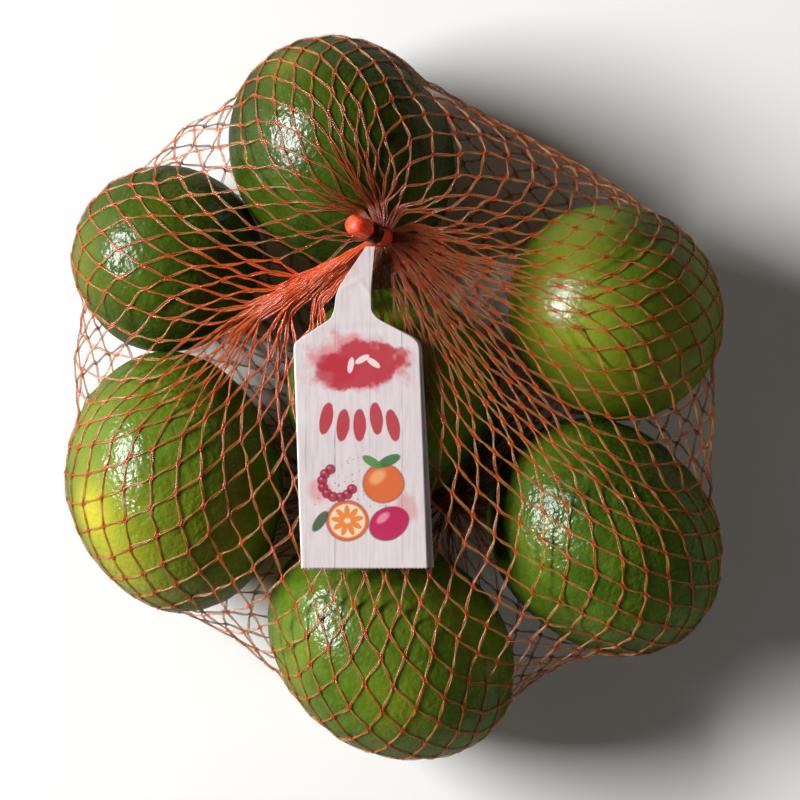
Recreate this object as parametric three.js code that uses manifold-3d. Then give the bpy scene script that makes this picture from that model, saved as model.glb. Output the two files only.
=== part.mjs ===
// A net of oranges: seven green-skinned fruit in a knitted net bag that is
// gathered into a clip at both ends, with a folded paper tag caught at the
// upper clip. Millimetres, Z up, the bag lying on the plane z = 0.
import * as THREE from 'three';
import Module from 'manifold-3d';

const { cos, sin, PI, min, max, hypot, sqrt } = Math;
const DEGREE = PI / 180;

// Fruit, six in a ring about one: centre, half-axes and turn about the
// vertical. Each lies on the floor, so its centre is its upright half-axis up.
const FRUIT = [
  { x: -15.8, y: 73.5, long: 36.4, wide: 32.7, high: 34, turn: -55 },
  { x: -68.4, y: 41.7, long: 28.7, wide: 28.3, high: 28.5, turn: 0 },
  { x: -66, y: -25.2, long: 39.2, wide: 32.3, high: 34, turn: 101.5 },
  { x: -1.3, y: -74.2, long: 39.6, wide: 31.9, high: 32.5, turn: -36 },
  { x: 63.2, y: -41.8, long: 38.2, wide: 32.5, high: 33.5, turn: -45.5 },
  { x: 66.3, y: 25.7, long: 33.5, wide: 31.6, high: 32.5, turn: -51 },
  { x: -0.4, y: 0.7, long: 32.5, wide: 32, high: 32, turn: 0 },
];

// Places between two fruit where the net stands out in a web instead of
// drawing in: centre and half-axes of the room it keeps.
const WEBS = [
  { x: -55.4, y: 71.7, z: 35, long: 12, wide: 12, high: 14 },
  { x: -83.9, y: 11.7, z: 35, long: 12, wide: 17, high: 14 },
  { x: 84.1, y: -5.3, z: 35, long: 12, wide: 16, high: 14 },
];

// The net: knots to a ring, rings between the gathers, the length at which
// one side of a mesh goes slack, how far the thread stands off a fruit, how
// deep a mesh sinks between threads on a fruit, and how near the floor it
// lies flat.
const COLUMNS = 60;
const ROWS = 34;
const SLACK_SIDE = 7.2;
const THREAD = 1;
const MESH_DISH = 0.8;
const MESH_DISH_SHARE = 0.12;
const FLOOR_BAND = 0.5;

// Where the net spans a gap, a mesh is a well down to the fruit: the least
// gap and mesh width that make one, how far its floor is drawn in, how deep it
// may go, and its share of the way through to the net on the other side.
const WELL_LEAST = 6;
const WELL_WIDTH_LEAST = 5.5;
const WELL_TAPER = 0.32;
const WELL_MOST = 20;
const WELL_SHARE = 0.25;
const WELL_CLOSING = 0.22;

// The open bag before it is drawn tight.
const OPEN_RADIUS = 117;
const OPEN_TOP = 78;
const OPEN_RIM = 38;
const FIRST_COLUMN_ANGLE = 68;
const DRAW_STEPS = 1500;
const DRAW_RATE = 0.4;

// Where the net gathers, above and below.
const TOP_GATHER = new THREE.Vector3(-3.4, 47.3, 64);
const BASE_GATHER = new THREE.Vector3(17.6, -30.3, 9);
const GATHER_RADIUS = 2.4;

// How the columns leave the upper gather: [columns, angle in degrees] pairs.
const LEAVING = [
  [0, 80],
  [10, 122],
  [14, 188],
  [33, 240],
  [37, 284],
  [56, 386],
  [60, 440],
];
const LEAVE_REACH = 7.6;
const LEAVE_HOLD = 0.06;
const LEAVE_FALL = 0.1;

// The pleat, a thick strand of bunched columns that runs from the upper
// gather to the left. Along its share of the columns, from 0 to 1: the
// direction in degrees and the number of rings held together.
const PLEAT_FIRST = 14;
const PLEAT_LAST = 33;
const PLEAT_DIRECTION = [
  [0, 204],
  [0.55, 214],
  [0.8, 222],
  [1, 238],
];
const PLEAT_RINGS = [
  [0, 3],
  [0.12, 4.6],
  [0.3, 6.2],
  [0.7, 4.5],
  [1, 2],
];
const PLEAT_PITCH = 8.2;
const PLEAT_FALL = 0.2;
const PLEAT_RELEASE = 0.01;
const PLEAT_CREST_END = 0.8;
const PLEAT_CREST = [
  [0, 0.5],
  [1, 2],
  [4, 2.5],
  [7, 0.5],
];

// The tail that runs on from the upper gather: it bends over to one side,
// goes through the clip and ends in a knot. [distance, radius] pairs.
const TAIL_SIDES = 30;
const TAIL_HEADING = 159;
const TAIL_BEND_RADIUS = 3.8;
const TAIL_BEND_END = 48;
const TAIL_BEND_STEPS = 4;
const TAIL_RADIUS = 2;
const TOP_TAIL = [
  [0.4, 2],
  [4.4, 2],
  [5, 2.9],
  [6, 3.5],
  [8, 3.8],
  [10.2, 3.6],
  [11.6, 2.7],
];
const TOP_TAIL_END = 12;
const TAIL_PLEATS = 6;
const TAIL_PLEAT_DEPTH = 0.07;

// The tail below, pressed flat on the floor. [height, radius] pairs.
const BASE_TAIL = [
  [7.6, 2],
  [3.9, 2],
  [3.3, 3.2],
  [2.5, 5.2],
  [1.1, 6.1],
  [0, 5.7],
];

// The clips: bands bent round each tail, with the slit where the ends meet.
const CLIP_CLEARANCE = 0.3;
const CLIP_BAND = 0.8;
const CLIP_LENGTH = 3.2;
const CLIP_SLIT = 14;
const CLIP_SEGMENTS = 20;
const CLIP_BEVEL = 0.15;
const TOP_CLIP_START = 0.7;
const BASE_CLIP_BOTTOM = 4.2;

// The tag, one strip of paper folded in two leaves: [y, left x, right x].
const TAG_OUTLINE = [
  [44.3, -8.3, -5.7],
  [43.3, -9, -5.9],
  [37.7, -12.8, -6.4],
  [33.2, -15.7, -6.8],
  [30.3, -17.1, -6.9],
  [25.5, -17.7, -6.8],
  [23.1, -18.8, -5],
  [17.5, -27.4, 5.6],
  [16, -29.4, 7.2],
  [14.2, -29.6, 7.5],
  [-10.3, -28.7, 8.4],
  [-32.3, -28, 9.2],
  [-50.3, -27.3, 9.8],
];
// Height of the underside of the lower leaf along the tag: [y, z].
const TAG_RISE = [
  [-50.3, 65.8],
  [-32.3, 65.5],
  [-2.3, 65.9],
  [19.7, 65.5],
  [35.7, 65.9],
  [44.3, 66.3],
];
const TAG_PAPER = 0.5;
const TAG_LEAF_GAP = 0.4;
const TAG_JOIN_END = 37.7;
const TAG_LOWER_TURN = 1.6;
const TAG_STEP = 3;

function interpolate(table, place) {
  const last = table.length - 1;
  if (place <= table[0][0]) {
    return table[0][1];
  }
  for (let k = 1; k <= last; k += 1) {
    const [from, a] = table[k - 1];
    const [to, b] = table[k];
    if (place <= to) {
      return a + ((b - a) * (place - from)) / (to - from);
    }
  }
  return table[last][1];
}

// Knots of odd rings stand half a column on from those of even rings.
function columnOf(row, index) {
  return index + (row % 2) / 2;
}

function radial(centre, radius, angle, rise) {
  return new THREE.Vector3(
    centre.x + radius * cos(angle),
    centre.y + radius * sin(angle),
    centre.z + rise,
  );
}

// ---- The net drawn tight over the fruit ----

function openKnot(row, index) {
  const turn = (2 * PI * columnOf(row, index)) / COLUMNS;
  const angle = FIRST_COLUMN_ANGLE * DEGREE + turn;
  const half = ROWS / 2;
  const upper = row <= half;
  const share = upper ? row / half : (ROWS - row) / half;
  const gather = upper ? TOP_GATHER : BASE_GATHER;
  const rim = new THREE.Vector3(OPEN_RADIUS * cos(angle), OPEN_RADIUS * sin(angle), 0);
  const knot = gather.clone().lerp(rim, share);
  knot.z = upper
    ? OPEN_TOP - (OPEN_TOP - OPEN_RIM) * share ** 3
    : OPEN_RIM * share ** 3;
  return knot;
}

// The place a knot near the upper gather is held at, and how firmly.
function heldPlace(row, index) {
  const column = columnOf(row, index);
  const share = (column - PLEAT_FIRST) / (PLEAT_LAST - PLEAT_FIRST);
  const rings = interpolate(PLEAT_RINGS, share);
  if (row > 0 && share >= 0 && share <= 1) {
    if (row > rings + 1) {
      return null;
    }
    const reach = GATHER_RADIUS + PLEAT_PITCH * row;
    const crest = sin(PI * min(share / PLEAT_CREST_END, 1)) * interpolate(PLEAT_CREST, row);
    const angle = interpolate(PLEAT_DIRECTION, share) * DEGREE;
    const place = radial(TOP_GATHER, reach, angle, crest - PLEAT_FALL * reach);
    return { place, hold: row <= rings ? 1 : PLEAT_RELEASE };
  }
  if (row > 1) {
    return null;
  }
  const angle = interpolate(LEAVING, column) * DEGREE;
  const reach = GATHER_RADIUS + LEAVE_REACH * row;
  const place = radial(TOP_GATHER, reach, angle, -LEAVE_FALL * reach);
  return { place, hold: row === 0 ? 1 : LEAVE_HOLD };
}

function baseKnot(index) {
  const angle = interpolate(LEAVING, columnOf(ROWS, index)) * DEGREE;
  return radial(BASE_GATHER, GATHER_RADIUS, angle, 0);
}

// Rings joined by a mesh side, as offsets from a knot to two in the next ring.
function nextIndex(row, index, side) {
  const step = row % 2 === 0 ? side - 1 : side;
  return (index + step + COLUMNS) % COLUMNS;
}

function pullSides(knots, moves) {
  const pull = new THREE.Vector3();
  for (let row = 0; row < ROWS; row += 1) {
    for (let index = 0; index < COLUMNS; index += 1) {
      for (let side = 0; side < 2; side += 1) {
        const next = nextIndex(row, index, side);
        pull.subVectors(knots[row + 1][next], knots[row][index]);
        const over = 1 - SLACK_SIDE / pull.length();
        if (over > 0) {
          pull.multiplyScalar(over / 2);
          moves[row][index].add(pull);
          moves[row + 1][next].sub(pull);
        }
      }
    }
  }
}

// The fruit with a layer round each, as a centre, half-axes and a turn.
function fruitBodies(layer) {
  return FRUIT.map((f) => ({
    centre: new THREE.Vector3(f.x, f.y, f.high),
    axes: new THREE.Vector3(f.long + layer, f.wide + layer, f.high + layer),
    turn: f.turn * DEGREE,
  }));
}

// Bodies the net can't enter.
function obstacles() {
  const webs = WEBS.map((w) => ({
    centre: new THREE.Vector3(w.x, w.y, w.z),
    axes: new THREE.Vector3(w.long, w.wide, w.high),
    turn: 0,
  }));
  return [...fruitBodies(THREAD), ...webs];
}

const UP = new THREE.Vector3(0, 0, 1);

function pushOut(knot, bodies) {
  for (const { centre, axes, turn } of bodies) {
    const local = knot.clone().sub(centre).applyAxisAngle(UP, -turn).divide(axes);
    const depth = local.length();
    if (depth < 1) {
      local.divideScalar(depth).multiply(axes).applyAxisAngle(UP, turn);
      knot.copy(local.add(centre));
    }
  }
  knot.z = max(knot.z, 0);
}

function drawnNet() {
  const rows = Array.from({ length: ROWS + 1 }, (_, row) => row);
  const indices = Array.from({ length: COLUMNS }, (_, index) => index);
  const knots = rows.map((row) => indices.map((index) => openKnot(row, index)));
  const held = rows.map((row) => indices.map((index) => heldPlace(row, index)));
  const moves = rows.map(() => indices.map(() => new THREE.Vector3()));
  const bodies = obstacles();
  knots[0] = held[0].map(({ place }) => place);
  knots[ROWS] = indices.map(baseKnot);
  for (let step = 0; step < DRAW_STEPS; step += 1) {
    pullSides(knots, moves);
    for (let row = 1; row < ROWS; row += 1) {
      for (const index of indices) {
        const knot = knots[row][index];
        const guide = held[row][index];
        knot.addScaledVector(moves[row][index], DRAW_RATE);
        if (guide) {
          knot.lerp(guide.place, guide.hold);
        }
        pushOut(knot, bodies);
      }
    }
    moves.forEach((ring) => ring.forEach((move) => move.set(0, 0, 0)));
  }
  return knots;
}

// ---- The closed body of net and contents ----

// Gathers triangles; points are shared by reference.
class Skin {
  constructor() {
    this.numbers = new Map();
    this.points = [];
    this.faces = [];
  }

  number(point) {
    if (!this.numbers.has(point)) {
      this.numbers.set(point, this.numbers.size);
      this.points.push(point.x, point.y, point.z);
    }
    return this.numbers.get(point);
  }

  triangle(a, b, c) {
    this.faces.push(this.number(a), this.number(b), this.number(c));
  }

  geometry() {
    const built = new THREE.BufferGeometry();
    built.setAttribute('position', new THREE.Float32BufferAttribute(this.points, 3));
    built.setIndex(this.faces);
    built.computeVertexNormals();
    return built;
  }
}

// The middle of a mesh sinks between its four knots, less where it is narrow.
function dishedMiddle(top, left, right, bottom) {
  const middle = top.clone().add(left).add(right).add(bottom).divideScalar(4);
  if (middle.z < FLOOR_BAND) {
    middle.z = 0;
    return middle;
  }
  const down = bottom.clone().sub(top);
  const across = right.clone().sub(left);
  const narrow = min(down.length(), across.length());
  const inward = across.cross(down).normalize();
  return middle.addScaledVector(inward, min(MESH_DISH, MESH_DISH_SHARE * narrow));
}

// The four knots of each mesh, as [row, index] pairs: top, left, bottom, right.
function meshCorners(row, index) {
  return [
    [row, index],
    [row + 1, nextIndex(row, index, 0)],
    [row + 2, index],
    [row + 1, nextIndex(row, index, 1)],
  ];
}

// The way in from a knot, square to the net round it.
function inwardAt(knots, row, index) {
  const [left, right] = [0, 1].map((side) => nextIndex(row, index, side));
  const across = knots[row + 1][right].clone().sub(knots[row + 1][left]);
  across.add(knots[row - 1][right]).sub(knots[row - 1][left]);
  const down = knots[row + 1][right].clone().add(knots[row + 1][left]);
  down.sub(knots[row - 1][right]).sub(knots[row - 1][left]);
  return across.cross(down).normalize();
}

// How far a ray runs before it meets a fruit.
function distanceToFruit(from, way, bodies) {
  let nearest = Infinity;
  for (const { centre, axes, turn } of bodies) {
    const start = from.clone().sub(centre).applyAxisAngle(UP, -turn).divide(axes);
    const local = way.clone().applyAxisAngle(UP, -turn).divide(axes);
    const half = start.dot(local);
    const root = half * half - local.lengthSq() * (start.lengthSq() - 1);
    if (root > 0 && half < 0) {
      nearest = min(nearest, max((-half - sqrt(root)) / local.lengthSq(), 0));
    }
  }
  return nearest;
}

// The depth at which the ways in from two knots have closed on each other, or
// spread, by a share of the distance between the knots.
function closingDepth(knots, ways, [row, index], [otherRow, otherIndex]) {
  const apart = knots[row][index].distanceTo(knots[otherRow][otherIndex]);
  return (WELL_CLOSING * apart) / ways[row][index].distanceTo(ways[otherRow][otherIndex]);
}

// For each knot, the way in and how deep a well may go there. The net with its
// meshes closed gives the way through to its other side.
function wellRoom(knots) {
  const closed = new Skin();
  for (let row = 0; row < ROWS - 1; row += 1) {
    for (let index = 0; index < COLUMNS; index += 1) {
      const [top, left, bottom, right] = meshCorners(row, index).map(([r, k]) => knots[r][k]);
      closed.triangle(top, left, bottom);
      closed.triangle(bottom, right, top);
    }
  }
  const wall = new THREE.Mesh(closed.geometry(), new THREE.MeshBasicMaterial());
  wall.material.side = THREE.DoubleSide;
  const ends = (row) => row === 0 || row === ROWS;
  const ways = knots.map((ring, row) => (
    ring.map((_, index) => (ends(row) ? new THREE.Vector3() : inwardAt(knots, row, index)))
  ));
  return knots.map((ring, row) => ring.map((knot, index) => {
    const way = ways[row][index];
    if (ends(row)) {
      return { way, most: 0 };
    }
    const from = knot.clone().add(way);
    const hit = new THREE.Raycaster(from, way).intersectObject(wall)[0];
    const closing = [-1, 1].flatMap((down) => [0, 1].map((side) => (
      closingDepth(knots, ways, [row, index], [row + down, nextIndex(row, index, side)])
    )));
    return { way, most: hit ? min(WELL_MOST, WELL_SHARE * hit.distance, ...closing) : 0 };
  }));
}

// The floor of a well, one corner under each knot of its mesh, drawn in
// towards the middle. Nothing where the mesh is narrow or lies on the fruit.
function wellFloor(corners, room, fruit) {
  const [top, left, bottom, right] = corners;
  if (min(top.distanceTo(bottom), left.distanceTo(right)) < WELL_WIDTH_LEAST) {
    return null;
  }
  const middle = top.clone().add(left).add(bottom).add(right).divideScalar(4);
  let deepest = 0;
  const floor = corners.map((corner, k) => {
    const { way, most } = room[k];
    const from = corner.clone().lerp(middle, WELL_TAPER);
    const depth = min(distanceToFruit(from, way, fruit), most);
    deepest = max(deepest, depth);
    return from.addScaledVector(way, depth);
  });
  return deepest < WELL_LEAST ? null : floor;
}

function addMeshes(skin, knots) {
  const room = wellRoom(knots);
  const fruit = fruitBodies(0);
  for (let row = 0; row < ROWS - 1; row += 1) {
    for (let index = 0; index < COLUMNS; index += 1) {
      const places = meshCorners(row, index);
      const corners = places.map(([r, k]) => knots[r][k]);
      const floor = wellFloor(corners, places.map(([r, k]) => room[r][k]), fruit);
      if (floor) {
        addBand(skin, corners, floor, false);
        skin.triangle(floor[0], floor[1], floor[2]);
        skin.triangle(floor[2], floor[3], floor[0]);
      } else {
        const [top, left, bottom, right] = corners;
        const middle = dishedMiddle(top, left, right, bottom);
        addFan(skin, corners, middle, false);
      }
    }
  }
  for (let index = 0; index < COLUMNS; index += 1) {
    const ahead = (index + 1) % COLUMNS;
    skin.triangle(knots[0][ahead], knots[0][index], knots[1][index]);
    skin.triangle(knots[ROWS][index], knots[ROWS][ahead], knots[ROWS - 1][index]);
  }
}

// Joins a ring of points to another with as many points or with half of them.
function addBand(skin, outer, inner, flip) {
  const ratio = outer.length / inner.length;
  const put = (a, b, c) => (flip ? skin.triangle(a, c, b) : skin.triangle(a, b, c));
  inner.forEach((here, k) => {
    const next = inner[(k + 1) % inner.length];
    for (let step = 0; step < ratio; step += 1) {
      const from = outer[k * ratio + step];
      put(from, outer[(k * ratio + step + 1) % outer.length], here);
    }
    put(outer[((k + 1) * ratio) % outer.length], next, here);
  });
}

function addFan(skin, ring, tip, flip) {
  ring.forEach((here, k) => {
    const next = ring[(k + 1) % ring.length];
    if (flip) {
      skin.triangle(here, tip, next);
    } else {
      skin.triangle(here, next, tip);
    }
  });
}

// A frame on the upper tail: the bend first, then straight on.
function tailFrame(distance) {
  const bendLength = TAIL_BEND_RADIUS * TAIL_BEND_END * DEGREE;
  const turned = min((distance + bendLength) / TAIL_BEND_RADIUS, TAIL_BEND_END * DEGREE);
  const straight = max(distance, 0);
  const along = TAIL_BEND_RADIUS * (1 - cos(turned)) + straight * sin(turned);
  const lift = TAIL_BEND_RADIUS * sin(turned) + straight * cos(turned);
  const heading = TAIL_HEADING * DEGREE;
  const side = new THREE.Vector3(cos(heading), sin(heading), 0);
  return {
    centre: TOP_GATHER.clone().addScaledVector(side, along).addScaledVector(UP, lift),
    tilt: new THREE.Quaternion().setFromAxisAngle(UP.clone().cross(side), turned),
  };
}

function tailRing(distance, radius, pleated) {
  const { centre, tilt } = tailFrame(distance);
  return Array.from({ length: TAIL_SIDES }, (_, k) => {
    const angle = interpolate(LEAVING, 0) * DEGREE + (2 * PI * k) / TAIL_SIDES;
    const reach = radius * (1 + (pleated ? TAIL_PLEAT_DEPTH * cos(TAIL_PLEATS * angle) : 0));
    return new THREE.Vector3(reach * cos(angle), reach * sin(angle), 0)
      .applyQuaternion(tilt)
      .add(centre);
  });
}

function addTopTail(skin, gather) {
  const bendLength = TAIL_BEND_RADIUS * TAIL_BEND_END * DEGREE;
  const rings = [];
  for (let step = 1; step < TAIL_BEND_STEPS; step += 1) {
    const distance = -bendLength * (1 - step / TAIL_BEND_STEPS);
    rings.push(tailRing(distance, TAIL_RADIUS, false));
  }
  for (const [distance, radius] of TOP_TAIL) {
    rings.push(tailRing(distance, radius, radius > TAIL_RADIUS));
  }
  let below = gather;
  for (const ring of rings) {
    addBand(skin, below, ring, false);
    below = ring;
  }
  addFan(skin, below, tailFrame(TOP_TAIL_END).centre, false);
}

function addBaseTail(skin, gather) {
  let above = gather;
  for (const [height, radius] of BASE_TAIL) {
    const ring = Array.from({ length: TAIL_SIDES }, (_, k) => {
      const angle = interpolate(LEAVING, 0) * DEGREE + (2 * PI * k) / TAIL_SIDES;
      const ruffle = height > 0 && radius > TAIL_RADIUS ? TAIL_PLEAT_DEPTH : 0;
      const reach = radius * (1 + ruffle * cos(TAIL_PLEATS * angle));
      return radial(BASE_GATHER, reach, angle, height - BASE_GATHER.z);
    });
    addBand(skin, above, ring, true);
    above = ring;
  }
  const foot = BASE_GATHER.clone();
  foot.z = 0;
  addFan(skin, above, foot, true);
}

function filledNet() {
  const knots = drawnNet();
  const skin = new Skin();
  addMeshes(skin, knots);
  addTopTail(skin, knots[0]);
  addBaseTail(skin, knots[ROWS]);
  return skin.geometry();
}

// ---- Clips ----

function clipGeometry() {
  const inner = TAIL_RADIUS + CLIP_CLEARANCE;
  const outer = inner + CLIP_BAND;
  const from = (CLIP_SLIT / 2) * DEGREE;
  const to = 2 * PI - from;
  const shape = new THREE.Shape();
  shape.absarc(0, 0, outer - CLIP_BEVEL, from, to, false);
  shape.absarc(0, 0, inner + CLIP_BEVEL, to, from, true);
  shape.closePath();
  const band = new THREE.ExtrudeGeometry(shape, {
    depth: CLIP_LENGTH - 2 * CLIP_BEVEL,
    curveSegments: CLIP_SEGMENTS,
    bevelEnabled: true,
    bevelThickness: CLIP_BEVEL,
    bevelSize: CLIP_BEVEL,
    bevelSegments: 1,
  });
  band.translate(0, 0, CLIP_BEVEL);
  return band;
}

function topClip() {
  const { centre, tilt } = tailFrame(TOP_CLIP_START);
  const band = clipGeometry();
  band.rotateZ(TAIL_HEADING * DEGREE);
  band.applyQuaternion(tilt);
  band.translate(centre.x, centre.y, centre.z);
  return band;
}

function baseClip() {
  const band = clipGeometry();
  band.translate(BASE_GATHER.x, BASE_GATHER.y, BASE_CLIP_BOTTOM);
  return band;
}

// ---- Tag ----

const wasm = await Module();
wasm.setup();

function toSolid(geometry) {
  const mesh = new wasm.Mesh({
    numProp: 3,
    vertProperties: new Float32Array(geometry.attributes.position.array),
    triVerts: new Uint32Array(geometry.index.array),
  });
  return new wasm.Manifold(mesh);
}

function fromSolid(solid) {
  const mesh = solid.getMesh();
  const built = new THREE.BufferGeometry();
  built.setAttribute('position', new THREE.BufferAttribute(mesh.vertProperties, 3));
  built.setIndex(new THREE.BufferAttribute(mesh.triVerts, 1));
  return built;
}

// A strip between two lengths along the tag, from one height over the lower
// leaf's underside to another.
function tagStrip(tip, foot, under, over) {
  const lefts = TAG_OUTLINE.map(([y, left]) => [y, left]).reverse();
  const rights = TAG_OUTLINE.map(([y, , right]) => [y, right]).reverse();
  const breaks = TAG_OUTLINE.map(([y]) => y).filter((y) => y < tip && y > foot);
  const stations = [tip];
  for (const y of [...breaks, foot]) {
    const last = stations[stations.length - 1];
    const steps = Math.ceil((last - y) / TAG_STEP);
    for (let k = 1; k <= steps; k += 1) {
      stations.push(last + ((y - last) * k) / steps);
    }
  }
  const skin = new Skin();
  const sections = stations.map((y) => {
    const left = interpolate(lefts, y);
    const right = interpolate(rights, y);
    const rise = interpolate(TAG_RISE, y);
    return [
      new THREE.Vector3(left, y, rise + under),
      new THREE.Vector3(right, y, rise + under),
      new THREE.Vector3(right, y, rise + over),
      new THREE.Vector3(left, y, rise + over),
    ];
  });
  for (let k = 1; k < sections.length; k += 1) {
    addBand(skin, sections[k - 1], sections[k], false);
  }
  const [first, final] = [sections[0], sections[sections.length - 1]];
  skin.triangle(first[0], first[2], first[1]);
  skin.triangle(first[0], first[3], first[2]);
  skin.triangle(final[0], final[1], final[2]);
  skin.triangle(final[0], final[2], final[3]);
  return skin.geometry();
}

function tag() {
  const [tip] = TAG_OUTLINE[0];
  const [foot] = TAG_OUTLINE[TAG_OUTLINE.length - 1];
  const upperUnder = TAG_PAPER + TAG_LEAF_GAP;
  const whole = upperUnder + TAG_PAPER;
  const lower = tagStrip(tip, foot, 0, TAG_PAPER);
  lower.translate(0, -tip, 0);
  lower.rotateZ(TAG_LOWER_TURN * DEGREE);
  lower.translate(0, tip, 0);
  const upper = tagStrip(tip, foot, upperUnder, whole);
  const join = tagStrip(tip, TAG_JOIN_END, 0, whole);
  const solid = toSolid(lower).add(toSolid(upper)).add(toSolid(join));
  return fromSolid(solid);
}

// ---- The group ----

function part(name, geometry, colour, roughness, metalness) {
  const material = new THREE.MeshStandardMaterial({ color: colour, roughness, metalness });
  const mesh = new THREE.Mesh(geometry, material);
  mesh.name = name;
  return mesh;
}

const netOfOranges = new THREE.Group();
netOfOranges.name = 'net_of_oranges';
netOfOranges.add(
  part('filled_net', filledNet(), 0x6f7f2a, 0.5, 0),
  part('clip_top', topClip(), 0x6d6a68, 0.35, 1),
  part('clip_base', baseClip(), 0x6d6a68, 0.35, 1),
  part('tag', tag(), 0xe6dede, 0.6, 0),
);

export default netOfOranges;
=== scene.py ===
"""A net of oranges: green-skinned fruit in a knitted net bag, gathered and clipped at both
ends, with a folded paper tag caught at the upper clip. The bag lies on the floor z = 0."""

import math

import bpy
import numpy as np
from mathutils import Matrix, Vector


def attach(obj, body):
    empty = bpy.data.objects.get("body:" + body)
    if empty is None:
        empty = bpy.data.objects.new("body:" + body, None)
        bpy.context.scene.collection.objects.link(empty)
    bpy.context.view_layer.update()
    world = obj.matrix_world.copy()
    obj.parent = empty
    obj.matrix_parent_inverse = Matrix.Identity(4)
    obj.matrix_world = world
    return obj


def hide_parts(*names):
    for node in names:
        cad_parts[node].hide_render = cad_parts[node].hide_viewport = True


bl_info = {
    "name": "Net of Oranges",
    "version": (1, 0, 0),
    "blender": (4, 5, 0),
    "location": "View3D > Sidebar > Net of Oranges",
    "description": "Makes a net bag of oranges with its clips and paper tag",
    "category": "Add Mesh",
}

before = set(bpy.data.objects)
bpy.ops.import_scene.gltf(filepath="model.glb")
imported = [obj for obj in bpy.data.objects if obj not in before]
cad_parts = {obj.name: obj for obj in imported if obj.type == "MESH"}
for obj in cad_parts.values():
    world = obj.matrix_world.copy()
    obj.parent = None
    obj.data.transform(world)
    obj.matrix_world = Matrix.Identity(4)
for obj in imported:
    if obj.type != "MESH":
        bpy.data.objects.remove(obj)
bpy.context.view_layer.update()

# Lengths in the tables are in millimetres, and MM turns them into metres.
MM = 0.001
UP = np.array([0.0, 0.0, 1.0])

# Fruit: x, y, half-axes long, wide and high, turn in degrees. Each stands on the floor, so
# its centre is as high as its upright half-axis.
FRUIT = np.array(
    [
        (-15.8, 73.5, 36.4, 32.7, 34.0, -55.0),
        (-68.4, 41.7, 28.7, 28.3, 28.5, 0.0),
        (-66.0, -25.2, 39.2, 32.3, 34.0, 101.5),
        (-1.3, -74.2, 39.6, 31.9, 32.5, -36.0),
        (63.2, -41.8, 38.2, 32.5, 33.5, -45.5),
        (66.3, 25.7, 33.5, 31.6, 32.5, -51.0),
        (-0.4, 0.7, 32.5, 32.0, 32.0, 0.0),
    ]
)
FRUIT_CENTRES = FRUIT[:, [0, 1, 4]]
FRUIT_AXES = FRUIT[:, 2:5]
FRUIT_TURNS = FRUIT[:, 5]

# Room that the net keeps between two fruit: centre and half-axes.
WEBS = np.array(
    [
        (-55.4, 71.7, 35.0, 12.0, 12.0, 14.0),
        (-83.9, 11.7, 35.0, 12.0, 17.0, 14.0),
        (84.1, -5.3, 35.0, 12.0, 16.0, 14.0),
    ]
)

# Stem direction of each fruit, its shift towards yellow, how light its peel is, and its
# height of relief. How light a peel is stands partly for its own tone and partly for
# painted light, which makes the fruit at the bottom lighter than those at the top.
STEMS = np.array(
    [
        (0.30, 0.85, -0.42),
        (-0.75, 0.35, -0.55),
        (0.55, -0.20, -0.81),
        (-0.35, -0.86, -0.38),
        (0.92, -0.25, -0.30),
        (0.62, 0.72, -0.32),
        (0.20, 0.10, -0.97),
    ]
)
YELLOWNESS = np.array([0.03, 0.06, 0.18, 0.14, 0.0, 0.26, 0.05])
PEEL_TONE_AND_LIGHT = np.array([0.42, 0.52, 0.88, 0.91, 0.73, 0.77, 0.90])
LUMPINESS = np.array([0.9, 0.9, 1.1, 0.9, 1.2, 0.4, 1.0])

# Ripe patches, of which several are painted light that makes the brighter lit parts of a
# fruit lighter and yellower: fruit, direction from its centre, spread in radians, strength.
RIPE_AND_LIT_PATCHES = (
    (0, (-0.46, 0.74, 0.48), 0.20, 0.50),
    (1, (-0.93, -0.05, 0.36), 0.50, 0.32),
    (2, (-0.76, -0.24, 0.60), 0.26, 0.40),
    (2, (-0.55, -0.55, 0.63), 0.50, 0.30),
    (2, (-0.20, -0.85, 0.49), 0.50, 0.22),
    (3, (0.10, -0.45, 0.89), 0.40, 0.15),
    (4, (-0.20, -0.80, 0.56), 0.40, 0.15),
    (5, (-0.60, -0.10, 0.79), 0.50, 0.22),
    (6, (-0.20, 0.50, 0.84), 0.50, 0.20),
)

# The net: its columns and rings of knots, how long a side grows before it pulls, how long
# its thread is, the open bag it starts as, how it is drawn tight, and how far its knots
# and threads keep out of the fruit and off the floor.
COLUMNS = 60
ROWS = 34
SLACK_SIDE = 7.2
MESH_SIDE = 8.6
OPEN_RADIUS = 117.0
OPEN_TOP = 78.0
OPEN_RIM = 38.0
FIRST_COLUMN_ANGLE = 68.0
DRAW_STEPS = 1500
DRAW_RATE = 0.4
KNOT_CLEARANCE = 0.62
PATH_CLEARANCE = 0.45
FLOOR_CLEARANCE = 0.42
NET_SEED = 77

# A thread near a knot: the longest handle of its curve and that as a share of its side,
# how far it keeps from the knot's middle in thread widths, and how far it runs along its
# neighbour there, at most and as a share of its side.
HANDLE_MOST = 0.8
HANDLE_SHARE = 0.12
KNOT_PINCH = 0.30
KNOT_HALF = 0.55
KNOT_SHARE = 0.10

# How filmy the net is at a knot, over what share of a side that fades, how filmy it is
# at a gather and in the pleat there, and over how many rings a film of 1 fades away.
KNOT_FILM = 0.6
KNOT_FILM_SHARE = 0.14
FAN_FILM = 0.35
PLEAT_FILM = 1.6
FILM_RINGS = 6

# Over how many rings the strands that leave a gather are drawn out, and how much thinner
# they are there. Over the same rings they are darkened with a painted shade.
FAN_RINGS = 8.0
DRAWN_THIN = 0.42

# The two strands of a thread: how far each runs from its middle, as a share of its width,
# and how low their middles and their corners may lie.
STRAND_SPREAD = 0.26
STRAND_FLOOR = 0.25
CORNER_FLOOR = 0.05

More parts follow.
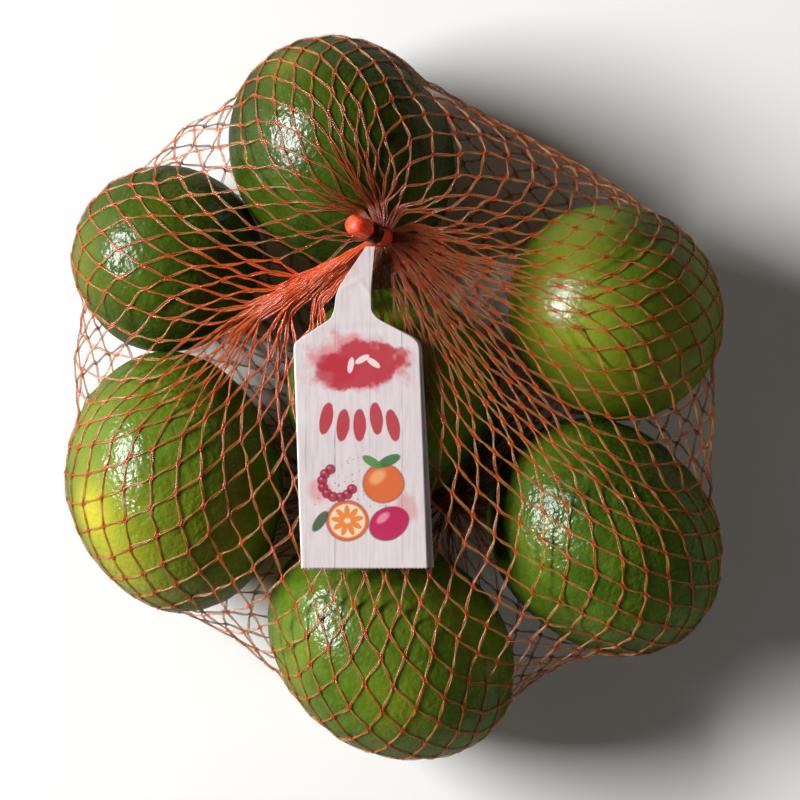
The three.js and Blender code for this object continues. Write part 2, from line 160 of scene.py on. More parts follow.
# Columns that cling together in each cord near a gather, and how firmly by ring.
CORD_SIZES = (3, 2, 3, 4, 2, 3, 3, 4, 3, 2, 4, 3, 2, 3, 4, 3, 3, 2, 4, 3)
CORD_HOLD = ((1, 0.5), (2, 0.34), (3, 0.16), (4, 0.06))

# How the peel and the threads meet: the peel's highest rise over its ellipsoid, the
# height of a fruit's flat foot over the floor, that of a thread's middle over the peel,
# and the heights between which a thread stops following it.
PEEL_PROUD = 0.25
FRUIT_FOOT = 0.9
LAY_HEIGHT = 0.30
LAY_FADE = (0.7, 2.4)

# The two gathers, their radius, and the heading in degrees at which each column leaves
# them. Near the upper one, how far apart the rings start, how firmly the first of them
# is held, how they fall, and how many are held at all.
TOP_GATHER = np.array([-3.4, 47.3, 64.0])
BASE_GATHER = np.array([17.6, -30.3, 9.0])
GATHER_RADIUS = 2.4
LEAVING = np.array(
    [(0, 80), (10, 122), (14, 188), (33, 240), (37, 284), (56, 386), (60, 440)], float
)
LEAVE_REACH = 7.6
LEAVE_HOLD = 0.06
LEAVE_FALL = 0.1
HELD_RINGS = 9

# The pleat beside the upper gather: its columns, its heading and how many of its rings
# are held, by share across it, how far apart they are, how they fall, how firmly the
# ring after the last is held, and the crest: where across the pleat it ends and how high
# it is by ring.
PLEAT_FIRST = 14
PLEAT_LAST = 33
PLEAT_DIRECTION = np.array([(0, 204), (0.55, 214), (0.8, 222), (1, 238)])
PLEAT_RINGS = np.array([(0, 3), (0.12, 4.6), (0.3, 6.2), (0.7, 4.5), (1, 2)])
PLEAT_PITCH = 8.2
PLEAT_FALL = 0.2
PLEAT_RELEASE = 0.01
PLEAT_CREST_END = 0.8
PLEAT_CREST = np.array([(0, 0.5), (1, 2), (4, 2.5), (7, 0.5)])

# The upper tail bends over, goes through the clip and ends in a melted knot that is
# pressed flat: distance along it and radius. The lower one runs down from its gather and
# flares over the floor in ruffles: height and radius.
TAIL_HEADING = 159.0
TAIL_BEND_RADIUS = 3.8
TAIL_BEND_END = 48.0
TOP_TAIL = np.array(
    [
        (-3.7, 3.1),
        (-3.0, 2.9),
        (-1.5, 2.2),
        (0.2, 1.95),
        (4.5, 1.95),
        (4.9, 2.9),
        (5.5, 3.6),
        (6.4, 3.9),
        (8.0, 3.95),
        (9.4, 3.8),
        (10.6, 3.5),
        (11.4, 2.9),
        (11.9, 1.8),
    ]
)
KNOT_PRESSED = 0.24
BASE_TAIL = np.array(
    [
        (9.6, 2.3),
        (8.4, 2.1),
        (7.4, 1.95),
        (4.0, 1.95),
        (3.5, 2.8),
        (2.9, 4.2),
        (2.2, 5.3),
        (1.3, 6.0),
        (0.5, 5.9),
        (0.15, 5.2),
    ]
)
TAIL_PLEATS = 5
TAIL_RINGS = 90
TAIL_SIDES = 120
RUFFLES = 9
RUFFLE_DEPTH = 0.14
BASE_RINGS = 46
BASE_SIDES = 144

# The tag, as in the part's solids. Outline: y, left x, right x. Rise: y, underside z.
TAG_OUTLINE = np.array(
    [
        (44.3, -8.3, -5.7),
        (43.3, -9.0, -5.9),
        (37.7, -12.8, -6.4),
        (33.2, -15.7, -6.8),
        (30.3, -17.1, -6.9),
        (25.5, -17.7, -6.8),
        (23.1, -18.8, -5.0),
        (17.5, -27.4, 5.6),
        (16.0, -29.4, 7.2),
        (14.2, -29.6, 7.5),
        (-10.3, -28.7, 8.4),
        (-32.3, -28.0, 9.2),
        (-50.3, -27.3, 9.8),
    ]
)
TAG_RISE = np.array(
    [(-50.3, 65.8), (-32.3, 65.5), (-2.3, 65.9), (19.7, 65.5), (35.7, 65.9), (44.3, 66.3)]
)

# Creases in the tag's neck: place, heading in degrees, rise, spread and half length.
TAG_CREASES = (
    (-12.6, 33.4, 24.0, 0.20, 0.45, 3.0),
    (-8.4, 31.8, -48.0, 0.26, 0.45, 3.4),
    (-11.6, 20.0, 4.0, -0.25, 1.2, 9.0),
)

# The tag's paper, how far its front leaf rises over the back one, how far that one is
# turned, and the points down and across a leaf.
TAG_PAPER = 0.4
TAG_LEAF_RISE = 1.0
TAG_LOWER_TURN = 1.1
TAG_ROWS = 130
TAG_COLUMNS = 66

# Where the foot's curl starts on the tag and how far it runs.
CURL_START = -20.0
CURL_LENGTH = 30.0

# Camera over the bag: where it looks, from how high and how wide a stretch it sees.
VIEW_CENTRE = np.array([1.65, -0.75, 35.0])
VIEW_DISTANCE = 1500.0
VIEW_WIDTH = 240.0
SENSOR_WIDTH = 36.0

# Floor, and lights in metres: width and height, then place. The colour of the room.
FLOOR_HALF = 1500.0
WINDOW = ((1.25, 0.55), (-1.85, 0.40, 1.15))
BOUNCE = ((1.2, 0.6), (1.30, -0.75, 0.45))
ROOM_COLOUR = (1.0, 0.84, 0.72, 1.0)


# ---------------------------------------------------------------- meshes


def new_piece(name, points, faces, material, flat_faces=0):
    """A mesh object in metres from points in millimetres and a list of face arrays, of
    which the last ones may be flat."""
    mesh = bpy.data.meshes.new(name)
    sizes = np.concatenate([np.full(len(f), f.shape[1]) for f in faces])
    corners = np.concatenate([f.ravel() for f in faces]).astype(np.int32)
    mesh.vertices.add(len(points))
    mesh.vertices.foreach_set("co", (np.asarray(points, float) * MM).ravel())
    mesh.loops.add(len(corners))
    mesh.loops.foreach_set("vertex_index", corners)
    mesh.polygons.add(len(sizes))
    starts = np.concatenate([[0], np.cumsum(sizes)[:-1]]).astype(np.int32)
    mesh.polygons.foreach_set("loop_start", starts)
    smooth = np.arange(len(sizes)) < len(sizes) - flat_faces
    mesh.polygons.foreach_set("use_smooth", smooth)
    mesh.update(calc_edges=True)
    mesh.validate()
    mesh.materials.append(material)
    piece = bpy.data.objects.new(name, mesh)
    bpy.context.scene.collection.objects.link(piece)
    return piece


def point_values(piece, name, values):
    """Keeps one number for each point, for the piece's material."""
    attribute = piece.data.attributes.new(name, "FLOAT", "POINT")
    attribute.data.foreach_set("value", np.asarray(values, np.float32))


def dress(piece, node):
    """The piece moves with the part and stands for a CAD node, which it hides."""
    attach(piece, "root")
    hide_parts(node)


def tube_faces(rings, sides):
    """Faces of a grid of rings closed round its sides, running ring by ring."""
    ring, side = np.meshgrid(np.arange(rings - 1), np.arange(sides), indexing="ij")
    here = ring * sides + side
    ahead = ring * sides + (side + 1) % sides
    return np.stack([here, ahead, ahead + sides, here + sides], -1).reshape(-1, 4)


def capped_faces(rings, sides):
    """Faces of a grid of rings closed round its sides, with a fan at each end to the two
    points that come after it."""
    side = np.arange(sides)
    ahead = (side + 1) % sides
    first = rings * sides
    last = first - sides
    start_fan = np.stack([ahead, side, np.full(sides, first)], 1)
    end_fan = np.stack([last + side, last + ahead, np.full(sides, first + 1)], 1)
    return [tube_faces(rings, sides), start_fan, end_fan]


def closed_tube(grid):
    """Points and faces of a grid [ring, side] with a point at the middle of each end
    ring, so that both ends are closed."""
    points = np.concatenate([grid.reshape(-1, 3), [grid[0].mean(0), grid[-1].mean(0)]])
    return points, capped_faces(*grid.shape[:2])


def full_turn(sides):
    """Even angles round a circle, as a row to set against the rings."""
    return np.linspace(0, 2 * math.pi, sides, endpoint=False)[None]


def unit(vectors):
    """Vectors divided by their own lengths."""
    return vectors / np.maximum(np.linalg.norm(vectors, axis=-1, keepdims=True), 1e-9)


def smooth_table(table, places, spread):
    """A table read at each place and at two places beside it, and averaged, so that
    its corners are rounded."""
    shifts = np.array([-1.0, -0.5, 0.0, 0.5, 1.0]) * spread
    weights = np.array([1.0, 2.0, 3.0, 2.0, 1.0]) / 9.0
    read = [np.interp(places + shift, table[:, 0], table[:, 1]) for shift in shifts]
    return np.tensordot(weights, np.array(read), 1)


# ------------------------------------------------------------- materials

# Colours in the peel beside the settings: flecks, oil glands and the stem's button.
PEEL_FLECK = (112, 148, 46)
PEEL_GLAND = (128, 154, 44)
PEEL_STEM = (92, 84, 44)

# How much of what lies under it a strand hides where the film is gathered.
GATHERED_COVER = 0.72


class Graph:
    """Adds nodes to a node tree. A socket given as an input is linked to it, and
    anything else becomes its value."""

    def __init__(self, tree):
        self.tree = tree

    def add(self, kind, inputs=None, **settings):
        """A node of a kind with its inputs and its own settings."""
        made = self.tree.nodes.new(kind)
        for name, value in settings.items():
            setattr(made, name, value)
        for name, value in (inputs or {}).items():
            if isinstance(value, bpy.types.NodeSocket):
                self.tree.links.new(value, made.inputs[name])
            else:
                made.inputs[name].default_value = value
        return made

    def maths(self, operation, *values):
        """The result of a sum on one or two values."""
        return self.add("ShaderNodeMath", dict(enumerate(values)), operation=operation).outputs[0]

    def plus(self, first, second):
        return self.maths("ADD", first, second)

    def minus(self, first, second):
        return self.maths("SUBTRACT", first, second)

    def times(self, first, second):
        return self.maths("MULTIPLY", first, second)

    def blend(self, factor, first, second):
        """The first colour with a share of the second."""
        given = {0: factor, 6: first, 7: second}
        return self.add("ShaderNodeMix", given, data_type="RGBA").outputs[2]

    def ranged(self, value, low, high, to_low, to_high):
        """A value carried from one range to another along a smooth step."""
        given = dict(enumerate((value, low, high, to_low, to_high)))
        return self.add("ShaderNodeMapRange", given, interpolation_type="SMOOTHSTEP").outputs[0]

    def place(self):
        """The point's place in the piece, in metres."""
        return self.add("ShaderNodeTexCoord").outputs["Object"]

    def attribute(self, name):
        """A number that the piece keeps for each of its points."""
        return self.add("ShaderNodeAttribute", attribute_name=name).outputs["Fac"]

    def noise(self, place, scale, detail):
        """Cloudy noise from 0 to 1."""
        given = {"Vector": place, "Scale": scale, "Detail": detail}
        return self.add("ShaderNodeTexNoise", given).outputs["Fac"]

    def group(self, name, inputs):
        """A shared effect, whose node group is made the first time it is asked for."""
        tree = bpy.data.node_groups.get(name) or GROUPS[name]()
        return self.add("ShaderNodeGroup", inputs, node_tree=tree).outputs[0]

    def patches(self, scale, contrast):
        return self.group("mottle", {"Scale": scale, "Contrast": contrast})

    def grain(self, scale, fine):
        return self.group("grain", {"Scale": scale, "Fine": fine})

    def bumped(self, height, strength, distance):
        """A normal that a height in millimetres tilts."""
        given = {"Height": height, "Strength": strength, "Distance": distance * MM}
        return self.add("ShaderNodeBump", given).outputs["Normal"]


def colour(red, green, blue):
    """A colour given as it looks on a screen, from 0 to 255, as linear light."""
    value = np.array([red, green, blue]) / 255.0
    linear = np.where(value <= 0.04045, value / 12.92, ((value + 0.055) / 1.055) ** 2.4)
    return (*linear.tolist(), 1.0)


def new_group(name, inputs, output):
    """An empty shader node group with one number as its output. An input is a number
    with its default, or a vector where that is None."""
    tree = bpy.data.node_groups.new(name, "ShaderNodeTree")
    for label, default in inputs.items():
        kind = "NodeSocketVector" if default is None else "NodeSocketFloat"
        socket = tree.interface.new_socket(label, in_out="INPUT", socket_type=kind)
        if default is not None:
            socket.default_value = default
    tree.interface.new_socket(output, in_out="OUTPUT", socket_type="NodeSocketFloat")
    graph = Graph(tree)
    return graph, graph.add("NodeGroupInput").outputs


def mottle_group():
    """Soft patches from 0 to 1 on the object's own coordinates."""
    graph, given = new_group("mottle", {"Scale": 100.0, "Contrast": 0.5}, "Patches")
    noise = graph.noise(graph.place(), given["Scale"], 3.0)
    spread = graph.times(given["Contrast"], 0.3)
    mapped = graph.ranged(noise, graph.minus(0.5, spread), graph.plus(0.5, spread), 0.0, 1.0)
    graph.add("NodeGroupOutput", {"Patches": mapped})
    return graph.tree


def grain_group():
    """A fine relief from coarse and fine noise on the object's own coordinates."""
    graph, given = new_group("grain", {"Scale": 1000.0, "Fine": 0.4}, "Height")
    place = graph.place()
    coarse = graph.noise(place, given["Scale"], 1.0)
    fine = graph.noise(place, graph.times(given["Scale"], 3.1), 1.0)
    graph.add("NodeGroupOutput", {"Height": graph.plus(coarse, graph.times(fine, given["Fine"]))})
    return graph.tree


def printed_spot_group():
    """The share of ink, from 0 to 1, of one oval of print: 1 inside it and falling to 0
    across its edge, which a noise can make wander as wet paint does."""
    sizes = {"Place": None, "Half Width": 1.0, "Half Height": 1.0, "Edge": 0.05, "Wander": 0.0}
    graph, given = new_group("printed_spot", sizes, "Ink")
    parts = graph.add("ShaderNodeSeparateXYZ", {"Vector": given["Place"]}).outputs
    across = graph.maths("DIVIDE", parts["X"], given["Half Width"])
    along = graph.maths("DIVIDE", parts["Y"], given["Half Height"])
    squares = graph.plus(graph.maths("POWER", across, 2.0), graph.maths("POWER", along, 2.0))
    drift = graph.minus(graph.noise(given["Place"], 0.22, 4.0), 0.5)
    edge = graph.plus(graph.maths("SQRT", squares), graph.times(drift, given["Wander"]))
    low, high = graph.minus(1.0, given["Edge"]), graph.plus(1.0, given["Edge"])
    graph.add("NodeGroupOutput", {"Ink": graph.ranged(edge, low, high, 1.0, 0.0)})
    return graph.tree


GROUPS = {"mottle": mottle_group, "grain": grain_group, "printed_spot": printed_spot_group}


def new_material(name):
    """An empty material and its graph."""
    material = bpy.data.materials.new(name)
    material.use_nodes = True
    material.node_tree.nodes.clear()
    return material, Graph(material.node_tree)


def finish_material(graph, inputs):
    """Adds the surface shader with its inputs, and the output."""
    shader = graph.add("ShaderNodeBsdfPrincipled", inputs)
    graph.add("ShaderNodeOutputMaterial", {"Surface": shader.outputs["BSDF"]})


def peel_material(settings):
    """Waxy citrus peel: deep and lively green in patches, yellow where it ripens and where
    patches of painted light make it lighter, pale oil glands in their pores, and a brown
    stem button. Each fruit's peel is lighter or darker, partly by its own tone and partly
    as painted light."""
    material, graph = new_material("orange_peel")
    ripe, stem = graph.attribute("ripeness"), graph.attribute("stem")
    broad, close = graph.patches(38.0, 0.7), graph.patches(190.0, 0.8)
    glands = graph.add(
        "ShaderNodeTexVoronoi",
        {"Vector": graph.place(), "Scale": 560.0, "Smoothness": 0.35},
        feature="SMOOTH_F1",
    )
    pores = graph.ranged(glands.outputs["Distance"], 0.0, 0.6, 0.0, 1.0)
    deep, lively = (*settings.deep_green, 1.0), (*settings.lively_green, 1.0)
    turning, yellow = (*settings.turning_green, 1.0), (*settings.ripe_yellow, 1.0)
    skin = graph.blend(graph.times(broad, 0.75), deep, lively)
    skin = graph.blend(graph.times(close, 0.25), skin, colour(*PEEL_FLECK))
    skin = graph.blend(graph.ranged(ripe, 0.0, 0.6, 0.0, 1.0), skin, turning)
    skin = graph.blend(graph.ranged(ripe, 0.35, 1.15, 0.0, 1.0), skin, yellow)
    skin = graph.blend(graph.times(graph.minus(1.0, pores), 0.16), skin, colour(*PEEL_GLAND))
    skin = graph.blend(stem, skin, colour(*PEEL_STEM))
    # Partly painted light: each fruit's lightness darkens or lightens its whole peel.
    tone = {"Color": skin, "Value": graph.attribute("lightness")}
    relief = graph.plus(graph.times(pores, 0.22), graph.grain(560.0, 0.2))
    relief = graph.times(relief, graph.attribute("lumpiness"))
    rough = graph.ranged(close, 0.0, 1.0, 0.21, 0.29)
    finish_material(
        graph,
        {
            "Base Color": graph.add("ShaderNodeHueSaturation", tone).outputs["Color"],
            "Roughness": graph.plus(rough, graph.times(stem, 0.4)),
            "Normal": graph.bumped(relief, settings.pore_depth, 0.35),
            "Specular IOR Level": 0.42,
        },
    )
    return material


def thread_material(settings):
    """Shiny knitted film: orange-red, paler where a strand is stretched thin, and darker
    with a painted shade where it is drawn out of a gather, as that fan lies in shade."""
    material, graph = new_material("net_thread")
    drift, gathered = graph.patches(260.0, 0.9), graph.attribute("gathered")
    thin = graph.ranged(graph.times(drift, graph.minus(1.0, gathered)), 0.0, 0.8, 0.0, 1.0)
    thick, stretched = (*settings.thread_colour, 1.0), (*settings.stretched_colour, 1.0)
    tint = graph.blend(thin, thick, stretched)
    tint = graph.blend(graph.times(gathered, 0.8), tint, (*settings.knot_colour, 1.0))
    # Painted shade: the strands drawn out of a gather are darkened towards the fan's shade colour.
    drawn = graph.times(graph.attribute("drawn"), 0.85)
    tint = graph.blend(drawn, tint, (*settings.fan_shade_colour, 1.0))
    cover = graph.ranged(gathered, 0.0, 1.0, settings.least_cover, GATHERED_COVER)
    finish_material(
        graph,
        {
            "Base Color": tint,
            "Roughness": graph.ranged(drift, 0.0, 1.0, 0.14, 0.26),
            "Normal": graph.bumped(graph.grain(1400.0, 0.5), 0.6, 0.25),
            "Alpha": graph.plus(cover, graph.times(drift, -0.12)),
            "Specular IOR Level": 1.0,
        },
    )
    return material


def film_material():
    """The gathered and melted film of the tails: a clear orange-red lump."""
    material, graph = new_material("melted_film")
    drift = graph.patches(420.0, 0.9)
    finish_material(
        graph,
        {
            "Base Color": graph.blend(drift, colour(234, 56, 28), colour(246, 96, 56)),
            "Roughness": graph.ranged(drift, 0.0, 1.0, 0.30, 0.44),
            "Normal": graph.bumped(graph.grain(620.0, 0.5), 0.6, 0.5),
            "Coat Weight": 0.15,
            "Coat Roughness": 0.12,
            "Specular IOR Level": 0.3,
            "Subsurface Weight": 0.6,
            "Subsurface Radius": (1.0, 0.30, 0.15),
            "Subsurface Scale": 0.004,
        },
    )
    return material


def steel_material():
    """Thin bent steel strip with faint scratches and dull patches."""
    material, graph = new_material("clip_steel")
    dull = graph.patches(500.0, 0.8)
    finish_material(
        graph,
        {
            "Base Color": graph.blend(dull, colour(104, 84, 78), colour(66, 50, 46)),
            "Metallic": 1.0,
            "Roughness": graph.ranged(dull, 0.0, 1.0, 0.34, 0.5),
            "Normal": graph.bumped(graph.grain(3000.0, 0.4), 0.3, 0.05),
        },
    )
    return material


# Gaps between the tag's boards: x and strength. Where the fine drops of ink gather.
BOARD_GAPS = ((-25.9, 0.35), (-17.4, 0.6), (-7.2, 0.4), (2.3, 0.5))
DROPS_CENTRE = (-12.0, -29.0, 67.0)

# Print on the tag, in millimetres on its face: x, y, half width, half height, turn in
# degrees, edge, wander, colour and strength. It is a plain design of fruit and leaves.
CRIMSON = (190, 52, 66)
ROSE = (222, 128, 134)
LEAF = (66, 118, 62)
ORANGE = (226, 112, 62)
PALE_ORANGE = (244, 176, 118)
BERRY = (158, 34, 62)
MAGENTA = (196, 44, 92)
DARK_LEAF = (46, 84, 46)
BRIGHT_LEAF = (92, 142, 72)
SEED = (244, 226, 224)
BERRY_SHINE = (226, 120, 146)
RIND_SHADE = (120, 50, 44)
RIND_EDGE = (148, 58, 40)
PITH = (246, 222, 190)
SEGMENT = (238, 140, 66)
MAGENTA_SHADE = (112, 30, 56)
MAGENTA_SHINE = (240, 156, 176)


def tag_print():
    """The spots of the print, from back to front."""
    spots = [
        (-11.5, 10.5, 14.5, 7.6, -4, 0.25, 1.5, ROSE, 0.75),
        (-9.5, 10.0, 12.5, 6.4, 6, 0.14, 1.3, CRIMSON, 0.92),
        (-17.5, 8.0, 6.5, 4.6, 20, 0.22, 1.2, CRIMSON, 0.80),
        (-22.0, -27.5, 3.6, 3.2, 10, 0.35, 1.0, ROSE, 0.55),
        (3.2, -33.0, 3.4, 4.2, -20, 0.35, 1.0, ROSE, 0.50),
    ]
    for k in range(5):
        x = -20.0 + 4.9 * k
        lift = 1.3 * math.cos(2.1 * k)
        spots.append((x, -7.5 + lift, 1.9, 4.7, 6 * (k - 2), 0.08, 0.25, CRIMSON, 0.95))
    for x, y, turn in ((-9.5, 11.2, 30), (-6.2, 10.2, -35), (-12.8, 9.4, 80)):
        spots.append((x, y, 2.3, 0.9, turn, 0.15, 0.2, SEED, 0.95))
    for k in range(9):
        angle = math.radians(118 + 27 * k)
        x = -16.6 + 4.6 * math.cos(angle)
        y = -25.0 + 4.4 * math.sin(angle)
        spots.append((x, y, 1.55, 1.5, 0, 0.10, 0.1, BERRY, 0.92))
        spots.append((x - 0.4, y + 0.5, 0.45, 0.4, 0, 0.30, 0.0, BERRY_SHINE, 0.8))
    spots += [
        (-3.2, -25.2, 6.2, 5.8, 0, 0.06, 0.1, RIND_SHADE, 0.9),
        (-3.2, -25.2, 5.9, 5.5, 0, 0.06, 0.1, ORANGE, 1.0),
        (-5.0, -23.4, 2.6, 1.7, 40, 0.45, 0.3, PALE_ORANGE, 0.9),
        (-1.6, -18.6, 3.6, 1.5, 24, 0.10, 0.1, LEAF, 0.95),
        (-6.6, -18.9, 3.2, 1.3, -30, 0.10, 0.1, BRIGHT_LEAF, 0.95),
        (-13.8, -36.2, 6.4, 6.0, 0, 0.06, 0.1, RIND_EDGE, 0.9),
        (-13.8, -36.2, 6.1, 5.7, 0, 0.06, 0.1, ORANGE, 1.0),
        (-13.8, -36.2, 5.2, 4.9, 0, 0.06, 0.0, PITH, 1.0),
    ]
    for k in range(9):
        angle = math.radians(40 * k + 12)
        x = -13.8 + 2.8 * math.cos(angle)
        y = -36.2 + 2.6 * math.sin(angle)
        spots.append((x, y, 1.95, 0.82, math.degrees(angle), 0.12, 0.1, SEGMENT, 1.0))
    spots += [
        (-1.6, -37.0, 6.2, 4.8, 28, 0.06, 0.1, MAGENTA_SHADE, 0.9),
        (-1.6, -36.9, 5.9, 4.5, 28, 0.06, 0.1, MAGENTA, 1.0),
        (-3.4, -35.4, 2.1, 1.1, 40, 0.40, 0.2, MAGENTA_SHINE, 0.8),
        (-21.8, -36.4, 3.6, 1.5, 55, 0.12, 0.1, DARK_LEAF, 0.9),
    ]
    return spots


def add_print(graph, place, paper):
    """Lays the print over the paper: fine drops of ink round a point, then each oval on
    coordinates in millimetres that are shifted and turned with it."""
    scaled = graph.add("ShaderNodeVectorMath", {0: place}, operation="SCALE")
    scaled.inputs["Scale"].default_value = 1 / MM
    place = scaled.outputs[0]
    near = graph.add("ShaderNodeVectorMath", {0: place, 1: DROPS_CENTRE}, operation="DISTANCE")
    drops = graph.times(
        graph.ranged(graph.noise(place, 0.9, 2.0), 0.64, 0.68, 0.0, 0.6),
        graph.ranged(near.outputs["Value"], 8.0, 15.0, 1.0, 0.0),
    )
    paper = graph.blend(drops, paper, colour(*BERRY))
    for x, y, wide, high, turn, edge, wander, ink, strength in tag_print():
        moved = {"Vector": place, "Location": (x, y, 0), "Rotation": (0, 0, math.radians(turn))}
        spot = graph.add("ShaderNodeMapping", moved, vector_type="TEXTURE").outputs[0]
        sizes = {"Half Width": wide, "Half Height": high, "Edge": edge, "Wander": wander}
        share = graph.group("printed_spot", {"Place": spot, **sizes})
        paper = graph.blend(graph.times(share, strength), paper, colour(*ink))
    return paper


def tag_material(printed):
    """Coated paper: whitewashed boards in grey, with the print laid over them on the
    front leaf."""
    material, graph = new_material("tag_front" if printed else "tag_back")
    place = graph.place()
    fibres = graph.add("ShaderNodeMapping", {"Vector": place, "Scale": (900.0, 90.0, 0.0)})
    streak = graph.noise(fibres.outputs[0], 1.0, 4.0)
    cloud = graph.patches(70.0, 0.8)
    grey = graph.ranged(streak, 0.35, 0.70, 0.0, 0.55)
    paper = graph.blend(grey, colour(230, 218, 218), colour(204, 190, 192))
    paper = graph.blend(graph.times(cloud, 0.30), paper, colour(238, 229, 229))
    parts = graph.add("ShaderNodeSeparateXYZ", {"Vector": place}).outputs
    board = graph.plus(parts["X"], graph.times(graph.minus(streak, 0.5), 0.9 * MM))
    for x, strength in BOARD_GAPS:
        away = graph.maths("ABSOLUTE", graph.minus(board, x * MM))
        line = graph.ranged(away, 0.06 * MM, 0.22 * MM, strength, 0.0)
        gap = graph.times(line, graph.ranged(streak, 0.40, 0.60, 0.25, 1.0))
        paper = graph.blend(gap, paper, colour(120, 112, 116))
    if printed:
        paper = add_print(graph, place, paper)
    finish_material(
        graph,
        {
            "Base Color": paper,
            "Roughness": graph.ranged(cloud, 0.0, 1.0, 0.34, 0.46),
            "Normal": graph.bumped(graph.grain(1500.0, 0.5), 0.15, 0.08),
            "Coat Weight": 0.2,
            "Coat Roughness": 0.22,
        },
    )
    return material


def floor_material(settings):
    """Plain pale board with a faint tooth, dimmed where it is seen in a reflection."""
    material, graph = new_material("pale_floor")
    cloud = graph.times(graph.patches(3.0, 0.5), 0.2)
    board = graph.blend(cloud, (*settings.floor_colour, 1.0), colour(253, 253, 252))
    glossy = graph.times(graph.add("ShaderNodeLightPath").outputs["Is Glossy Ray"], 0.8)
    finish_material(
        graph,
        {
            "Base Color": graph.blend(glossy, board, colour(60, 52, 46)),
            "Roughness": 0.65,
            "Normal": graph.bumped(graph.grain(700.0, 0.4), 0.1, 0.05),
        },
    )
    return material


# ----------------------------------------------------------------- fruit

# A usual fruit's radius, on which the relief's lengths lie, and the first seed of it.
USUAL_RADIUS = 34.0
PEEL_SEED = 410

# Waves that make the relief: how many, their shortest and their longest length.
BROAD_WAVES = (24, 26.0, 60.0)
LUMP_WAVES = (60, 5.5, 11.0)
PEBBLE_WAVES = (110, 2.1, 3.8)

# Depth of the relief: broad unevenness, lumps, pebbles, the hollow round the stem, the
# furrows that run from it and the hollow at the tip. Height of the stem's button.
BROAD_DEPTH = 0.28
LUMP_DEPTH = 0.05
PEBBLE_DEPTH = 0.024
HOLLOW_DEPTH = 1.8
FURROW_DEPTH = 0.9
TIP_DEPTH = 0.25
BUTTON_RISE = 1.3

# Distances from the stem: how far the hollow and a furrow spread, where a furrow is
# deepest, and the button's edge. How far the tip's hollow spreads.
HOLLOW_SPREAD = 5.0
FURROW_PLACE = 7.0
BUTTON_RADIUS = 2.6
TIP_SPREAD = 1.6


def waves(directions, rng, count, shortest, longest):
    """Uneven relief on a ball: the mean of many sine waves that run in random
    directions through it, with random phases and lengths, scaled to a spread of 1."""
    heading = unit(rng.normal(size=(count, 3)))
    number = 2 * math.pi / rng.uniform(shortest, longest, count)
    phase = rng.uniform(0, 2 * math.pi, count)
    across = (directions.reshape(-1, 3) * USUAL_RADIUS) @ heading.T
    field = np.sin(across * number + phase).sum(1) * math.sqrt(2 / count)
    return field.reshape(directions.shape[:-1])


def turn_matrix(degrees):
    """Turns a direction in a body's own axes into the bag's, about the upright."""
    c, s = math.cos(math.radians(degrees)), math.sin(math.radians(degrees))
    return np.array([[c, -s, 0], [s, c, 0], [0, 0, 1]])


def ellipsoid_reach(index, direction):
    """How far a fruit's ellipsoid reaches from its centre in each direction: one over the
    length of that direction measured in its half-axes."""
    local = direction @ turn_matrix(FRUIT_TURNS[index]) / FRUIT_AXES[index]
    return 1 / np.linalg.norm(local, axis=-1)


def stem_axes(index):
    """A fruit's stem direction and two directions across it."""
    stem = unit(STEMS[index])
    side = unit(np.cross(stem, UP + 0.1))
    return stem, side, np.cross(stem, side)


def peel_relief(index, direction):
    """Where the peel of a fruit lies in each direction: its distance from the centre,
    the distance over the peel from the stem, and the broad unevenness. The first is the
    ellipsoid's, with broad unevenness, close lumps and pebbles cut into it, a hollow
    round the stem with furrows that run from it, a raised stem button, and a small
    hollow at the tip."""
    rng = np.random.default_rng(PEEL_SEED + index)
    amount = LUMPINESS[index]
    broad = waves(direction, rng, *BROAD_WAVES)
    lumps = waves(direction, rng, *LUMP_WAVES)
    pebbles = waves(direction, rng, *PEBBLE_WAVES)
    dent = BROAD_DEPTH * np.clip(broad + 1.2, 0, 3)
    dent = dent + LUMP_DEPTH * amount * np.clip(lumps + 2, 0, 4)
    dent = dent + PEBBLE_DEPTH * amount * np.clip(pebbles + 2, 0, 4)
    stem, side, third = stem_axes(index)
    away = USUAL_RADIUS * np.arccos(np.clip(direction @ stem, -1, 1))
    around = np.arctan2(direction @ third, direction @ side)
    furrow = 0.5 + 0.5 * np.cos(8 * around + 0.8 * np.sin(3 * around))
    dent = dent + HOLLOW_DEPTH * np.exp(-((away / HOLLOW_SPREAD) ** 2))
    from_furrow = (away - FURROW_PLACE) / HOLLOW_SPREAD
    dent = dent + FURROW_DEPTH * furrow * np.exp(-(from_furrow**2))
    past_button = away - BUTTON_RADIUS - 0.35 * np.cos(5 * around)
    button = BUTTON_RISE / (1 + np.exp(past_button / 0.22))
    tip = TIP_DEPTH * np.exp(-(((USUAL_RADIUS * math.pi - away) / TIP_SPREAD) ** 2))
    dent = dent - button + tip
    return ellipsoid_reach(index, direction) + PEEL_PROUD - dent, away, broad


